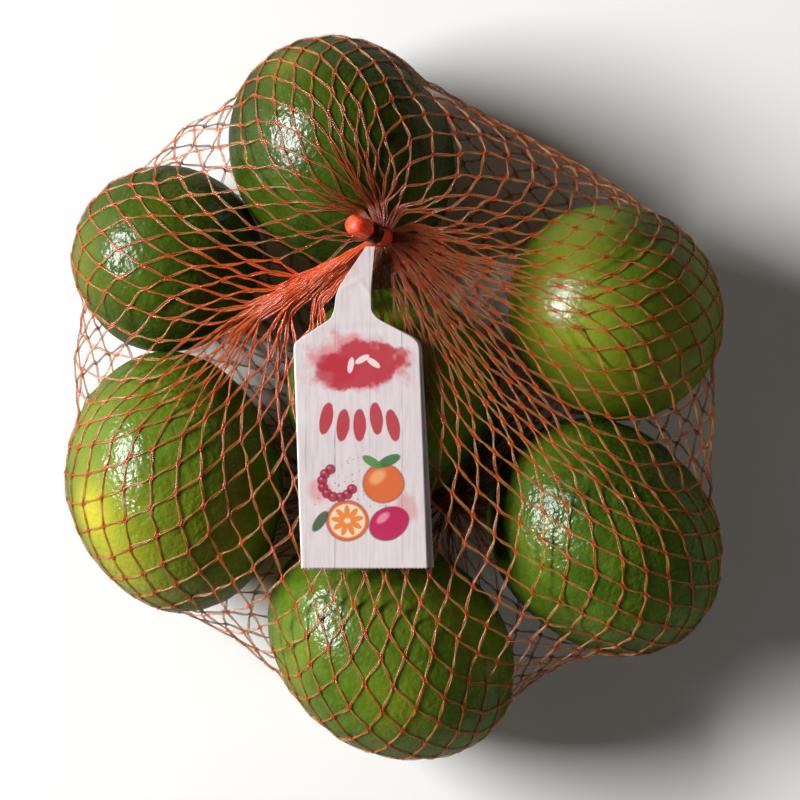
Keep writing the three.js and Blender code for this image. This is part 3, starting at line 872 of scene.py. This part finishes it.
def fruit_surface(index, rings, sides):
    """One fruit as points by direction from its centre, in rings round its stem, with
    the ripeness, partly painted light, and the stem's share at each. It lies a little flat on the
    floor."""
    polar = np.linspace(0, math.pi, rings + 1)[:, None]
    around = full_turn(sides)
    stem, side, third = stem_axes(index)
    direction = (
        np.cos(polar)[..., None] * stem
        + (np.sin(polar) * np.cos(around))[..., None] * side
        + (np.sin(polar) * np.sin(around))[..., None] * third
    )
    reach, away, broad = peel_relief(index, direction)
    points = direction * reach[..., None] + FRUIT_CENTRES[index]
    points[..., 2] = np.maximum(points[..., 2], FRUIT_FOOT)
    ripe = YELLOWNESS[index] + 0.05 * broad
    # Some of these patches are painted light on the brighter lit parts, not ripening.
    for fruit, towards, spread, strength in RIPE_AND_LIT_PATCHES:
        if fruit == index:
            apart = np.arccos(np.clip(direction @ unit(np.array(towards)), -1, 1))
            ripe = ripe + strength * np.exp(-((apart / spread) ** 2))
    on_stem = 1 / (1 + np.exp((away - 2.9) / 0.25))
    return points, np.clip(ripe, 0, 1), on_stem


def closed_ball(values):
    """Drops all but one point of the first and last rings of a grid [ring, side]."""
    body = values[1:-1].reshape(-1, *values.shape[2:])
    return np.concatenate([body, values[:1, 0], values[-1:, 0]])


# ------------------------------------------------------------------- net


def column_places(row):
    """Knots of odd rings stand half a column on from those of even rings."""
    return np.arange(COLUMNS) + (row % 2) / 2


def from_gather(gather, reach, degrees, rise):
    """A point at a reach, direction and rise from a gather."""
    angle = np.radians(degrees)
    return gather + np.stack([reach * np.cos(angle), reach * np.sin(angle), rise + 0 * angle], -1)


def open_net():
    """The bag before it is drawn tight: rings whose radius grows evenly from the upper
    gather to the rim and shrinks to the lower one, and whose height falls with the cube
    of that share."""
    knots = np.zeros((ROWS + 1, COLUMNS, 3))
    half = ROWS / 2
    for row in range(ROWS + 1):
        turn = 2 * math.pi * column_places(row) / COLUMNS
        angle = math.radians(FIRST_COLUMN_ANGLE) + turn
        rim = OPEN_RADIUS * np.stack([np.cos(angle), np.sin(angle)], -1)
        upper = row <= half
        share = row / half if upper else (ROWS - row) / half
        gather = TOP_GATHER if upper else BASE_GATHER
        knots[row, :, :2] = gather[:2] + (rim - gather[:2]) * share
        drop = (OPEN_TOP - OPEN_RIM) * share**3
        knots[row, :, 2] = OPEN_TOP - drop if upper else OPEN_RIM * share**3
    return knots


def held_places():
    """Where knots near the upper gather are held, and how firmly, from 0 to 1. The
    columns of the pleat run side by side in its own direction, and the others leave the
    gather at the angles of the table."""
    place = np.zeros((ROWS + 1, COLUMNS, 3))
    hold = np.zeros((ROWS + 1, COLUMNS, 1))
    for row in range(HELD_RINGS):
        column = column_places(row)
        share = (column - PLEAT_FIRST) / (PLEAT_LAST - PLEAT_FIRST)
        reach = GATHER_RADIUS + LEAVE_REACH * row
        degrees = np.interp(column, LEAVING[:, 0], LEAVING[:, 1])
        place[row] = from_gather(TOP_GATHER, reach, degrees, -LEAVE_FALL * reach)
        hold[row, :, 0] = (1.0, LEAVE_HOLD)[row] if row < 2 else 0.0
        if row > 0:
            reach = GATHER_RADIUS + PLEAT_PITCH * row
            arch = np.sin(math.pi * np.clip(share / PLEAT_CREST_END, 0, 1))
            crest = arch * np.interp(row, PLEAT_CREST[:, 0], PLEAT_CREST[:, 1])
            degrees = np.interp(share, PLEAT_DIRECTION[:, 0], PLEAT_DIRECTION[:, 1])
            pleated = from_gather(TOP_GATHER, reach, degrees, crest - PLEAT_FALL * reach)
            rings = np.interp(share, PLEAT_RINGS[:, 0], PLEAT_RINGS[:, 1])
            firm = np.where(row <= rings, 1.0, np.where(row <= rings + 1, PLEAT_RELEASE, 0.0))
            inside = (share >= 0) & (share <= 1)
            place[row] = np.where(inside[:, None], pleated, place[row])
            hold[row, :, 0] = np.where(inside, firm, hold[row, :, 0])
    degrees = np.interp(column_places(ROWS), LEAVING[:, 0], LEAVING[:, 1])
    place[ROWS] = from_gather(BASE_GATHER, GATHER_RADIUS, degrees, 0.0)
    hold[ROWS] = 1.0
    return place, hold


def push_out(points, clearance):
    """Moves points out of the fruit, the webs and the floor: a point inside an
    ellipsoid goes out along the line from its centre."""
    bodies = list(zip(FRUIT_CENTRES, FRUIT_AXES + clearance, FRUIT_TURNS))
    bodies += [(web[:3], web[3:], 0.0) for web in WEBS]
    for centre, axes, turn in bodies:
        spin = turn_matrix(turn)
        local = (points - centre) @ spin / axes
        depth = np.linalg.norm(local, axis=-1, keepdims=True)
        outside = centre + (local / np.maximum(depth, 1e-9) * axes) @ spin.T
        points = np.where(depth < 1, outside, points)
    points[..., 2] = np.maximum(points[..., 2], FLOOR_CLEARANCE)
    return points


def laid_on_peel(path):
    """Lays the threads on the peel: where a thread runs close over a fruit, its distance
    from the fruit's centre becomes the peel's plus half a thread, and blends back to its
    own over a short height."""
    for index, centre in enumerate(FRUIT_CENTRES):
        apart = path - centre
        distance = np.linalg.norm(apart, axis=-1)
        direction = apart / np.maximum(distance, 1e-9)[..., None]
        gap = distance - ellipsoid_reach(index, direction)
        near = gap < LAY_FADE[1]
        share = np.clip((LAY_FADE[1] - gap[near]) / (LAY_FADE[1] - LAY_FADE[0]), 0, 1)
        share = share * share * (3 - 2 * share)
        reach = peel_relief(index, direction[near])[0] + LAY_HEIGHT
        laid = distance[near] + (reach - distance[near]) * share
        path[near] = centre + direction[near] * laid[:, None]
    path[..., 2] = np.maximum(path[..., 2], FLOOR_CLEARANCE)
    return path


def drawn_net():
    """The net drawn tight: every side of a mesh longer than its slack length pulls its
    two knots together by a share of the excess, again and again, while held knots stay
    and all knots are kept out of the fruit."""
    knots = open_net()
    place, hold = held_places()
    knots[0] = place[0]
    knots[ROWS] = place[ROWS]
    for _ in range(DRAW_STEPS):
        moves = np.zeros_like(knots)
        for parity, steps in ((0, (0, 1)), (1, (0, -1))):
            upper = knots[parity:ROWS:2]
            lower = knots[parity + 1 : ROWS + 1 : 2]
            for step in steps:
                apart = np.roll(lower, step, axis=1) - upper
                length = np.linalg.norm(apart, axis=-1, keepdims=True)
                pull = 0.5 * apart * np.maximum(1 - SLACK_SIDE / np.maximum(length, 1e-9), 0)
                moves[parity:ROWS:2] += pull
                moves[parity + 1 : ROWS + 1 : 2] -= np.roll(pull, -step, axis=1)
        knots = knots + moves * DRAW_RATE
        knots = knots + (place - knots) * hold
        knots = push_out(knots, KNOT_CLEARANCE)
        knots[0] = place[0]
        knots[ROWS] = place[ROWS]
    return knots


def knot_directions(knots):
    """For each knot, the way the net runs on to the next ring and the way across it,
    from the two knots ahead and the two behind."""
    down = np.zeros_like(knots)
    across = np.zeros_like(knots)
    for row in range(ROWS + 1):
        shift = 1 if row % 2 == 0 else 0
        for other, sign in ((row + 1, 1.0), (row - 1, -1.0)):
            if not 0 <= other <= ROWS:
                down[row] += 2 * sign * knots[row]
                continue
            left = np.roll(knots[other], shift, axis=0)
            right = np.roll(knots[other], shift - 1, axis=0)
            down[row] += sign * (left + right)
            across[row] += right - left
    down = unit(down)
    across = unit(across - (across * down).sum(-1, keepdims=True) * down)
    return down, across


def bunched(knots):
    """Near each gather the columns cling together in cords: each knot moves towards
    the mean of its cord by a share that fades from ring to ring."""
    knots = knots.copy()
    cords = np.repeat(np.arange(len(CORD_SIZES)), CORD_SIZES)
    for row, share in CORD_HOLD:
        for cord in range(len(CORD_SIZES)):
            member = cords == cord
            for ring in (row, ROWS - row):
                middle = knots[ring, member].mean(0)
                knots[ring, member] += (middle - knots[ring, member]) * share
    return knots


def thread_paths(knots, settings):
    """The path of each of the two chains per column, from gather to gather, as a grid
    [chain, step]. A chain zigzags between two columns of knots: it runs straight
    through each knot beside its neighbour and crosses to the next on a cubic curve, with
    a small slack bow where its side of the mesh isn't stretched."""
    rng = np.random.default_rng(NET_SEED)
    down, across = knot_directions(knots)
    shake = rng.normal(scale=settings.unevenness / MM, size=knots.shape[:2] + (2,))
    shake[:2] = 0
    shake[-2:] = 0
    knots = knots + across * shake[..., :1] + down * shake[..., 1:]
    knots = bunched(knots)
    chain = np.arange(2 * COLUMNS)
    rows = np.arange(ROWS + 1)
    even = (rows % 2 == 0)[None, :]
    index = np.where(even, (chain // 2)[:, None], ((chain - 1) // 2 % COLUMNS)[:, None])
    side = np.where((chain % 2 == 1)[:, None] == even, 1.0, -1.0)[..., None]
    apart = settings.thread_width / MM * KNOT_PINCH
    at = knots[rows, index] + across[rows, index] * side * apart
    way = down[rows, index]
    lateral = across[rows, index]
    outward = unit(np.cross(way, lateral))
    steps = settings.path_steps
    t = (np.arange(steps) / (steps - 1))[None, None, :, None]
    start, end = at[:, :-1, None], at[:, 1:, None]
    length = np.linalg.norm(end - start, axis=-1, keepdims=True)
    together = np.minimum(KNOT_HALF, KNOT_SHARE * length)
    start = start + way[:, :-1, None] * together
    end = end - way[:, 1:, None] * together
    handle = np.minimum(HANDLE_MOST, HANDLE_SHARE * length)
    first = start + way[:, :-1, None] * handle
    second = end - way[:, 1:, None] * handle
    path = (
        (1 - t) ** 3 * start
        + 3 * (1 - t) ** 2 * t * first
        + 3 * (1 - t) * t**2 * second
        + t**3 * end
    )
    slack = np.sqrt(np.maximum(MESH_SIDE**2 - length**2, 0.0))
    bow = rng.normal(scale=0.06, size=slack.shape[:2] + (1, 1)) * slack
    lift = np.abs(rng.normal(scale=0.03, size=bow.shape)) * slack
    hump = np.sin(math.pi * t)
    path = path + lateral[:, :-1, None] * bow * hump + outward[:, :-1, None] * lift * hump
    path = np.concatenate([path.reshape(2 * COLUMNS, -1, 3), at[:, -1:]], 1)
    fade = np.repeat(outward[:, :-1], steps, axis=1)
    outward = np.concatenate([fade, outward[:, -1:]], 1)
    path = laid_on_peel(push_out(path, PATH_CLEARANCE))
    return path, outward, rng


def in_pleat():
    """Which chains run in the pleat, as a column to set against the steps."""
    column = np.arange(2 * COLUMNS)[:, None] / 2
    return (column > PLEAT_FIRST) & (column < PLEAT_LAST)


def gathered_share(settings):
    """How gathered the film is at each step of each chain, from 0 to 1: a part at each
    knot, fading over a share of a side, and more towards the two gathers, most of all
    in the pleat, which stays closed for longer."""
    steps = settings.path_steps
    side, step = np.divmod(np.arange(ROWS * steps + 1), steps)
    place = side + step / (steps - 1)
    from_knot = np.abs(place - np.round(place))
    top = np.where(in_pleat(), PLEAT_FILM, FAN_FILM) - place / FILM_RINGS
    base = FAN_FILM - (ROWS - place) / FILM_RINGS
    knots = KNOT_FILM * np.exp(-((from_knot / KNOT_FILM_SHARE) ** 2))
    return np.clip(np.maximum(knots, np.maximum(top, base)), 0, 1)


def drawn_share(settings):
    """How far each step of each chain is drawn out thin and darkened with a painted
    shade, from 0 to 1: most at the two gathers, but not in the pleat, fading over several rings."""
    place = np.arange(ROWS * settings.path_steps + 1) / settings.path_steps
    top = np.where(in_pleat(), 0.0, 1 - place / FAN_RINGS)
    return np.clip(np.maximum(top, 1 - (ROWS - place) / FAN_RINGS), 0, 1)


def strand_grid(path, outward, rng, settings):
    """Two flat strands twisted round each path: at each step, the path plus an offset
    that turns round it, and four corners of a flat section that turns as well. A strand
    is wider where the film is gathered and narrower where it is drawn out of a gather.
    The result is a grid [strand, chain, step, corner]."""
    tangent = unit(np.gradient(path, axis=1))
    lateral = unit(np.cross(tangent, outward))
    normal = np.cross(lateral, tangent)
    chains = len(path)
    pace = rng.uniform(0.5, 1.5, size=(chains, ROWS))
    pace = np.repeat(pace, settings.path_steps, axis=1) / settings.path_steps
    turn = np.cumsum(pace, axis=1) * math.pi * settings.twist
    turn = np.concatenate([np.zeros((chains, 1)), turn], 1)
    turn = turn + rng.uniform(0, math.pi, size=(chains, 1))
    swell = 0.86 + 0.28 * gathered_share(settings)[..., None]
    swell = swell * (1 - DRAWN_THIN * drawn_share(settings)[..., None])
    wide = settings.strand_width / MM / 2
    thin = settings.strand_thickness / MM / 2
    corners = np.array([(-wide, -thin), (wide, -thin), (wide, thin), (-wide, thin)])
    gap = settings.thread_width / MM * STRAND_SPREAD
    strands = []
    for strand in (0.0, math.pi):
        angle = (turn + strand)[..., None]
        offset = gap * (np.cos(angle) * lateral + 0.6 * np.sin(angle) * normal)
        middle = path + offset
        middle[..., 2] = np.maximum(middle[..., 2], STRAND_FLOOR)
        roll = 0.8 * angle + 0.6 * strand
        flat = np.cos(roll) * lateral + np.sin(roll) * normal
        edge = np.cross(tangent, flat)
        ring = (
            middle[:, :, None]
            + (corners[:, 0] * swell)[..., None] * flat[:, :, None]
            + corners[:, 1, None] * edge[:, :, None]
        )
        strands.append(ring)
    grid = np.stack(strands)
    grid[..., 2] = np.maximum(grid[..., 2], CORNER_FLOOR)
    return grid


def strand_mesh(grid):
    """Points and faces of a grid [strand, chain, step, corner] of closed strands."""
    tubes = grid.reshape(-1, grid.shape[2], 4, 3)
    count, rings = tubes.shape[:2]
    body = tube_faces(rings, 4)
    caps = np.array([[3, 2, 1, 0], np.arange(4) + (rings - 1) * 4])
    one = np.concatenate([body, caps])
    faces = (one[None] + (np.arange(count) * rings * 4)[:, None, None]).reshape(-1, 4)
    return tubes.reshape(-1, 3), [faces]


# ----------------------------------------------------------------- tails


def tail_frame(distance):
    """Centre and turned axes along the upper tail: an arc from upright to its slant,
    then a straight line."""
    bend = TAIL_BEND_RADIUS * math.radians(TAIL_BEND_END)
    turned = np.clip((distance + bend) / TAIL_BEND_RADIUS, 0, math.radians(TAIL_BEND_END))
    below = np.minimum(distance + bend, 0)
    straight = np.maximum(distance, 0)
    along = TAIL_BEND_RADIUS * (1 - np.cos(turned)) + straight * np.sin(turned)
    lift = TAIL_BEND_RADIUS * np.sin(turned) + straight * np.cos(turned) + below
    heading = math.radians(TAIL_HEADING)
    side = np.array([math.cos(heading), math.sin(heading), 0.0])
    centre = TOP_GATHER + along[..., None] * side + lift[..., None] * UP
    slanted = np.cos(turned)[..., None] * side - np.sin(turned)[..., None] * UP
    return centre, slanted, np.cross(UP, side)


def top_tail_grid():
    """Rings along the upper tail: at each distance, a circle whose radius follows the
    table and whose edge waves in and out, more where the tail swells into its knot, and
    which is pressed flat there."""
    distances = np.linspace(TOP_TAIL[0, 0], TOP_TAIL[-1, 0], TAIL_RINGS)
    radii = smooth_table(TOP_TAIL, distances, 0.35)[:, None]
    swell = np.clip((radii - 2.0) / 1.8, 0, 1)
    centre, slanted, across = tail_frame(distances)
    angle = full_turn(TAIL_SIDES)
    s = distances[:, None]
    wave = np.cos(TAIL_PLEATS * angle + 0.5 * s)
    wave = wave + 0.5 * np.cos((2 * TAIL_PLEATS + 1) * angle - 0.4 * s)
    reach = radii * (1 + (0.03 + 0.02 * swell) * wave)
    flat = 1 - KNOT_PRESSED * swell
    return (
        centre[:, None]
        + (reach * np.cos(angle))[..., None] * slanted[:, None]
        + (reach * flat * np.sin(angle))[..., None] * across
    )


def base_tail_grid():
    """Rings down the lower tail: circles whose radius follows the table, ruffled where
    it flares over the floor."""
    share = np.linspace(0, 1, BASE_RINGS)
    marks = np.linspace(0, 1, len(BASE_TAIL))
    heights, radii = (np.interp(share, marks, values)[:, None] for values in BASE_TAIL.T)
    angle = full_turn(BASE_SIDES)
    flare = np.clip((radii - 2.2) / 3.5, 0, 1)
    reach = radii * (1 - RUFFLE_DEPTH * flare * (0.5 + 0.5 * np.cos(RUFFLES * angle)))
    reach = reach * (1 + 0.03 * np.cos(24 * angle))
    rise = heights + 0.35 * flare * (0.5 + 0.5 * np.cos(RUFFLES * angle + 1.2))
    return np.stack(
        [
            BASE_GATHER[0] + reach * np.cos(angle),
            BASE_GATHER[1] + reach * np.sin(angle),
            np.maximum(rise + 0 * angle, 0.12),
        ],
        -1,
    )


# ------------------------------------------------------------------- tag


def tag_height(y):
    """Height of the tag's lower leaf along it: the table with its corners rounded."""
    return smooth_table(TAG_RISE, y, 6.0)


def leaf_sheet(lift, curl, teeth):
    """The points of one leaf of the tag: an even grid between its left and right edges
    down its length, raised by the tag's own height and a slight curl at the foot, then
    the same grid one paper thickness down. The foot's last row steps up and down in fine
    teeth."""
    share = np.linspace(0, 1, TAG_ROWS) ** 0.9
    tip, foot = TAG_OUTLINE[0, 0], TAG_OUTLINE[-1, 0]
    y = tip + (foot - tip) * share
    rising = TAG_OUTLINE[::-1]
    left = smooth_table(rising[:, [0, 1]], y, 0.7)
    right = smooth_table(rising[:, [0, 2]], y, 0.7)
    across = np.linspace(0, 1, TAG_COLUMNS)[None]
    x = left[:, None] + (right - left)[:, None] * across
    length = np.repeat(y[:, None], TAG_COLUMNS, 1)
    length[-1] += teeth * (np.arange(TAG_COLUMNS) % 2)
    curled = np.clip((CURL_START - length) / CURL_LENGTH, 0, 1) ** 2
    z = tag_height(y)[:, None] + lift + curl * curled
    z = z + 0.10 * np.sin(length / 9.0) * (across - 0.5)
    for place_x, place_y, heading, rise, spread, reach in TAG_CREASES:
        turn = math.radians(heading)
        away = (length - place_y) * math.cos(turn) - (x - place_x) * math.sin(turn)
        along = (x - place_x) * math.cos(turn) + (length - place_y) * math.sin(turn)
        z = z + rise * np.exp(-((away / spread) ** 2) - (along / reach) ** 4)
    top = np.stack([x, length, z + 0 * x], -1)
    bottom = top - np.array([0, 0, TAG_PAPER])
    return np.concatenate([top.reshape(-1, 3), bottom.reshape(-1, 3)])


def sheet_faces(rows, columns):
    """Faces of the two sides of a sheet and its rim, with the upper side's points
    first and the lower side's after them."""
    r, c = np.meshgrid(np.arange(rows - 1), np.arange(columns - 1), indexing="ij")
    a = (r * columns + c).ravel()
    upper = np.stack([a, a + columns, a + columns + 1, a + 1], 1)
    under = rows * columns
    lower = (upper + under)[:, ::-1]
    first = np.arange(columns)
    last = first + (rows - 1) * columns
    left = np.arange(rows) * columns
    right = left + columns - 1
    edge = np.concatenate([first, right[1:], last[::-1][1:], left[::-1][1:-1]])
    ahead = np.roll(edge, -1)
    rim = np.stack([edge, ahead, ahead + under, edge + under], 1)
    return [upper, lower, rim]


# ------------------------------------------------------ settings and tools

# What the settings of one kind have in common.
COLOUR = {"subtype": "COLOR", "min": 0.0, "max": 1.0}
LENGTH = {"subtype": "DISTANCE", "unit": "LENGTH", "precision": 5}
SHARE = {"subtype": "FACTOR", "min": 0.0, "max": 1.0}


class FruitSettings(bpy.types.PropertyGroup):
    deep_green: bpy.props.FloatVectorProperty(
        name="Deep green",
        description="Peel colour of the greenest patches",
        default=colour(56, 84, 16)[:3],
        **COLOUR,
    )
    lively_green: bpy.props.FloatVectorProperty(
        name="Lively green",
        description="Peel colour of the brighter patches",
        default=colour(104, 134, 30)[:3],
        **COLOUR,
    )
    turning_green: bpy.props.FloatVectorProperty(
        name="Turning green",
        description="Peel colour where the fruit starts to ripen",
        default=colour(146, 154, 38)[:3],
        **COLOUR,
    )
    ripe_yellow: bpy.props.FloatVectorProperty(
        name="Ripe yellow",
        description="Peel colour of the ripest patches",
        default=colour(214, 200, 50)[:3],
        **COLOUR,
    )
    pore_depth: bpy.props.FloatProperty(
        name="Pore depth",
        description="Strength of the peel's pores",
        default=0.85,
        **SHARE,
    )
    rings: bpy.props.IntProperty(
        name="Rings",
        description="Rings of points from stem to tip on each fruit",
        default=140,
        min=24,
        max=200,
    )


class NetSettings(bpy.types.PropertyGroup):
    thread_width: bpy.props.FloatProperty(
        name="Thread width",
        description="Width over the two strands of a side of a mesh",
        default=0.00102,
        min=0.0003,
        max=0.002,
        **LENGTH,
    )
    strand_width: bpy.props.FloatProperty(
        name="Strand width",
        description="Width of one flat strand",
        default=0.00054,
        min=0.0001,
        max=0.001,
        **LENGTH,
    )
    strand_thickness: bpy.props.FloatProperty(
        name="Strand thickness",
        description="Thickness of one flat strand",
        default=0.00020,
        min=0.00005,
        max=0.0005,
        **LENGTH,
    )
    twist: bpy.props.FloatProperty(
        name="Twist",
        description="Half turns of the strands along one side of a mesh",
        default=1.2,
        min=0.0,
        max=4.0,
    )
    unevenness: bpy.props.FloatProperty(
        name="Unevenness",
        description="How far a knot strays from its even place",
        default=0.00035,
        min=0.0,
        max=0.002,
        **LENGTH,
    )
    path_steps: bpy.props.IntProperty(
        name="Steps",
        description="Steps along each side of a mesh",
        default=6,
        min=3,
        max=6,
    )
    thread_colour: bpy.props.FloatVectorProperty(
        name="Thread colour",
        description="Colour of the thick parts of a strand",
        default=colour(200, 106, 50)[:3],
        **COLOUR,
    )
    stretched_colour: bpy.props.FloatVectorProperty(
        name="Stretched colour",
        description="Colour of the stretched parts of a strand",
        default=colour(212, 150, 88)[:3],
        **COLOUR,
    )
    knot_colour: bpy.props.FloatVectorProperty(
        name="Knot colour",
        description="Colour where strands lie together in knots and cords",
        default=colour(238, 88, 34)[:3],
        **COLOUR,
    )
    # The painted shade of the strands that fan out from a gather.
    fan_shade_colour: bpy.props.FloatVectorProperty(
        name="Drawn colour",
        description="Colour of the thin strands that fan out from a gather",
        default=colour(156, 60, 38)[:3],
        **COLOUR,
    )
    least_cover: bpy.props.FloatProperty(
        name="Least cover",
        description="How much of what lies under it a single strand hides",
        default=0.48,
        **SHARE,
    )


class TagSettings(bpy.types.PropertyGroup):
    foot_curl: bpy.props.FloatProperty(
        name="Foot curl",
        description="How far the front leaf's foot lifts",
        default=0.0006,
        min=0.0,
        max=0.004,
        **LENGTH,
    )
    tooth_depth: bpy.props.FloatProperty(
        name="Tooth depth",
        description="Depth of the cut teeth along the foot",
        default=0.00035,
        min=0.0,
        max=0.001,
        **LENGTH,
    )


class StageSettings(bpy.types.PropertyGroup):
    floor_colour: bpy.props.FloatVectorProperty(
        name="Floor colour",
        description="Colour of the plain floor",
        default=colour(250, 249, 247)[:3],
        **COLOUR,
    )
    key_power: bpy.props.FloatProperty(
        name="Key light",
        description="Power of the large light at the left",
        unit="POWER",
        default=92.0,
        min=0.0,
        max=500.0,
    )
    fill_power: bpy.props.FloatProperty(
        name="Bounce light",
        description="Power of the low soft light at the right",
        unit="POWER",
        default=4.0,
        min=0.0,
        max=500.0,
    )
    surround: bpy.props.FloatProperty(
        name="Surround",
        description="Brightness of the pale room all round",
        default=0.03,
        min=0.0,
        max=4.0,
    )


class NETORANGES_OT_fruit(bpy.types.Operator):
    """Make the fruit, each as its own piece"""

    bl_idname = "net_oranges.fruit"
    bl_label = "Make Fruit"

    def execute(self, context):
        settings = context.scene.net_oranges_fruit
        material = peel_material(settings)
        rings = settings.rings
        sides = 2 * rings
        faces = capped_faces(rings - 1, sides)
        for index in range(len(FRUIT)):
            points, ripe, stem = fruit_surface(index, rings, sides)
            piece = new_piece(f"orange_{index + 1}", closed_ball(points), faces, material)
            point_values(piece, "ripeness", closed_ball(ripe[..., None])[:, 0])
            point_values(piece, "stem", closed_ball(stem[..., None])[:, 0])
            for name, table in (("lightness", PEEL_TONE_AND_LIGHT), ("lumpiness", LUMPINESS)):
                point_values(piece, name, np.full(len(piece.data.vertices), table[index]))
            dress(piece, "filled_net")
        return {"FINISHED"}


class NETORANGES_OT_net(bpy.types.Operator):
    """Make the knitted net, as an upper and a lower piece"""

    bl_idname = "net_oranges.net"
    bl_label = "Make Net"

    def execute(self, context):
        settings = context.scene.net_oranges_net
        path, outward, rng = thread_paths(drawn_net(), settings)
        grid = strand_grid(path, outward, rng, settings)
        material = thread_material(settings)
        gathered = np.broadcast_to(gathered_share(settings)[..., None], grid.shape[:-1])
        # The drawn share also sets where the fan's painted shade lies.
        drawn = np.broadcast_to(drawn_share(settings)[..., None], grid.shape[:-1])
        middle = (ROWS // 2) * settings.path_steps
        for name, part in (("net_upper", slice(0, middle + 1)), ("net_lower", slice(middle, None))):
            points, faces = strand_mesh(grid[:, :, part])
            piece = new_piece(name, points, faces, material)
            point_values(piece, "gathered", gathered[:, :, part].ravel())
            point_values(piece, "drawn", drawn[:, :, part].ravel())
            dress(piece, "filled_net")
        return {"FINISHED"}


class NETORANGES_OT_tails(bpy.types.Operator):
    """Make the gathered tails of the net, with the melted knot"""

    bl_idname = "net_oranges.tails"
    bl_label = "Make Tails"

    def execute(self, context):
        material = film_material()
        points, faces = closed_tube(top_tail_grid())
        dress(new_piece("top_tail", points, faces, material), "filled_net")
        points, faces = closed_tube(base_tail_grid()[::-1])
        dress(new_piece("base_tail", points, faces, material), "filled_net")
        return {"FINISHED"}


class NETORANGES_OT_clips(bpy.types.Operator):
    """Give the two clips their steel"""

    bl_idname = "net_oranges.clips"
    bl_label = "Finish Clips"

    def execute(self, context):
        material = steel_material()
        for name in ("clip_top", "clip_base"):
            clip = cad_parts[name]
            clip.data.materials.clear()
            clip.data.materials.append(material)
        return {"FINISHED"}


class NETORANGES_OT_tag(bpy.types.Operator):
    """Make the folded paper tag, front and back leaf"""

    bl_idname = "net_oranges.tag"
    bl_label = "Make Tag"

    def execute(self, context):
        settings = context.scene.net_oranges_tag
        teeth, curl = settings.tooth_depth / MM, settings.foot_curl / MM
        faces = sheet_faces(TAG_ROWS, TAG_COLUMNS)
        rim = len(faces[-1])
        points = leaf_sheet(TAG_LEAF_RISE + TAG_PAPER, curl, teeth)
        dress(new_piece("tag_front", points, faces, tag_material(True), rim), "tag")
        points = leaf_sheet(TAG_PAPER, 0.0, teeth)
        pivot = np.array([0.0, TAG_OUTLINE[0, 0], 0.0])
        points = (points - pivot) @ turn_matrix(TAG_LOWER_TURN).T + pivot
        dress(new_piece("tag_back", points, faces, tag_material(False), rim), "tag")
        return {"FINISHED"}


def add_light(name, power, size, place, seen_in_gloss):
    """A rectangular light at a place in metres that faces the middle of the bag."""
    light = bpy.data.lights.new(name, "AREA")
    light.shape = "RECTANGLE"
    light.size, light.size_y = size
    light.energy = power
    lamp = bpy.data.objects.new(name, light)
    bpy.context.scene.collection.objects.link(lamp)
    lamp.visible_glossy = seen_in_gloss
    lamp.location = place
    lamp.rotation_euler = (-Vector(place)).to_track_quat("-Z", "Y").to_euler()


class NETORANGES_OT_stage(bpy.types.Operator):
    """Make the floor, the lights and the camera"""

    bl_idname = "net_oranges.stage"
    bl_label = "Make Stage"

    def execute(self, context):
        settings = context.scene.net_oranges_stage
        corners = FLOOR_HALF * np.array([(-1, -1, 0), (1, -1, 0), (1, 1, 0), (-1, 1, 0)])
        floor = new_piece("floor", corners, [np.array([[0, 1, 2, 3]])], floor_material(settings))
        add_light("window", settings.key_power, *WINDOW, True)
        add_light("bounce", settings.fill_power, *BOUNCE, False)
        world = bpy.data.worlds.new("room")
        world.use_nodes = True
        background = world.node_tree.nodes["Background"]
        background.inputs["Color"].default_value = ROOM_COLOUR
        background.inputs["Strength"].default_value = settings.surround
        context.scene.world = world
        camera_data = bpy.data.cameras.new("camera")
        camera_data.sensor_width = SENSOR_WIDTH
        camera_data.lens = SENSOR_WIDTH * VIEW_DISTANCE / VIEW_WIDTH
        camera_data.clip_start = 0.05
        camera_data.clip_end = 20.0
        camera = bpy.data.objects.new("camera", camera_data)
        context.scene.collection.objects.link(camera)
        camera.location = (VIEW_CENTRE + VIEW_DISTANCE * UP) * MM
        context.scene.camera = camera
        context.scene.view_settings.view_transform = "Standard"
        return {"FINISHED"}


class NETORANGES_PT_panel(bpy.types.Panel):
    """Lists the settings and the steps that make the net of oranges"""

    bl_label = "Net of Oranges"
    bl_idname = "NETORANGES_PT_panel"
    bl_space_type = "VIEW_3D"
    bl_region_type = "UI"
    bl_category = "Net of Oranges"

    def draw(self, context):
        for key, operator in STEPS:
            box = self.layout.box()
            if key:
                settings = getattr(context.scene, key)
                for name in type(settings).__annotations__:
                    box.prop(settings, name)
            box.operator(operator.bl_idname)


STEPS = (
    ("net_oranges_fruit", NETORANGES_OT_fruit),
    ("net_oranges_net", NETORANGES_OT_net),
    (None, NETORANGES_OT_tails),
    (None, NETORANGES_OT_clips),
    ("net_oranges_tag", NETORANGES_OT_tag),
    ("net_oranges_stage", NETORANGES_OT_stage),
)
SETTINGS = {
    "net_oranges_fruit": FruitSettings,
    "net_oranges_net": NetSettings,
    "net_oranges_tag": TagSettings,
    "net_oranges_stage": StageSettings,
}
CLASSES = (*SETTINGS.values(), *(operator for _, operator in STEPS), NETORANGES_PT_panel)


def register():
    for cls in CLASSES:
        bpy.utils.register_class(cls)
    for key, cls in SETTINGS.items():
        setattr(bpy.types.Scene, key, bpy.props.PointerProperty(type=cls))


def unregister():
    for key in SETTINGS:
        delattr(bpy.types.Scene, key)
    for cls in reversed(CLASSES):
        bpy.utils.unregister_class(cls)


def main():
    """Makes every piece in order."""
    register()
    for _, operator in STEPS:
        family, name = operator.bl_idname.split(".")
        getattr(getattr(bpy.ops, family), name)()


if __name__ == "__main__":
    main()
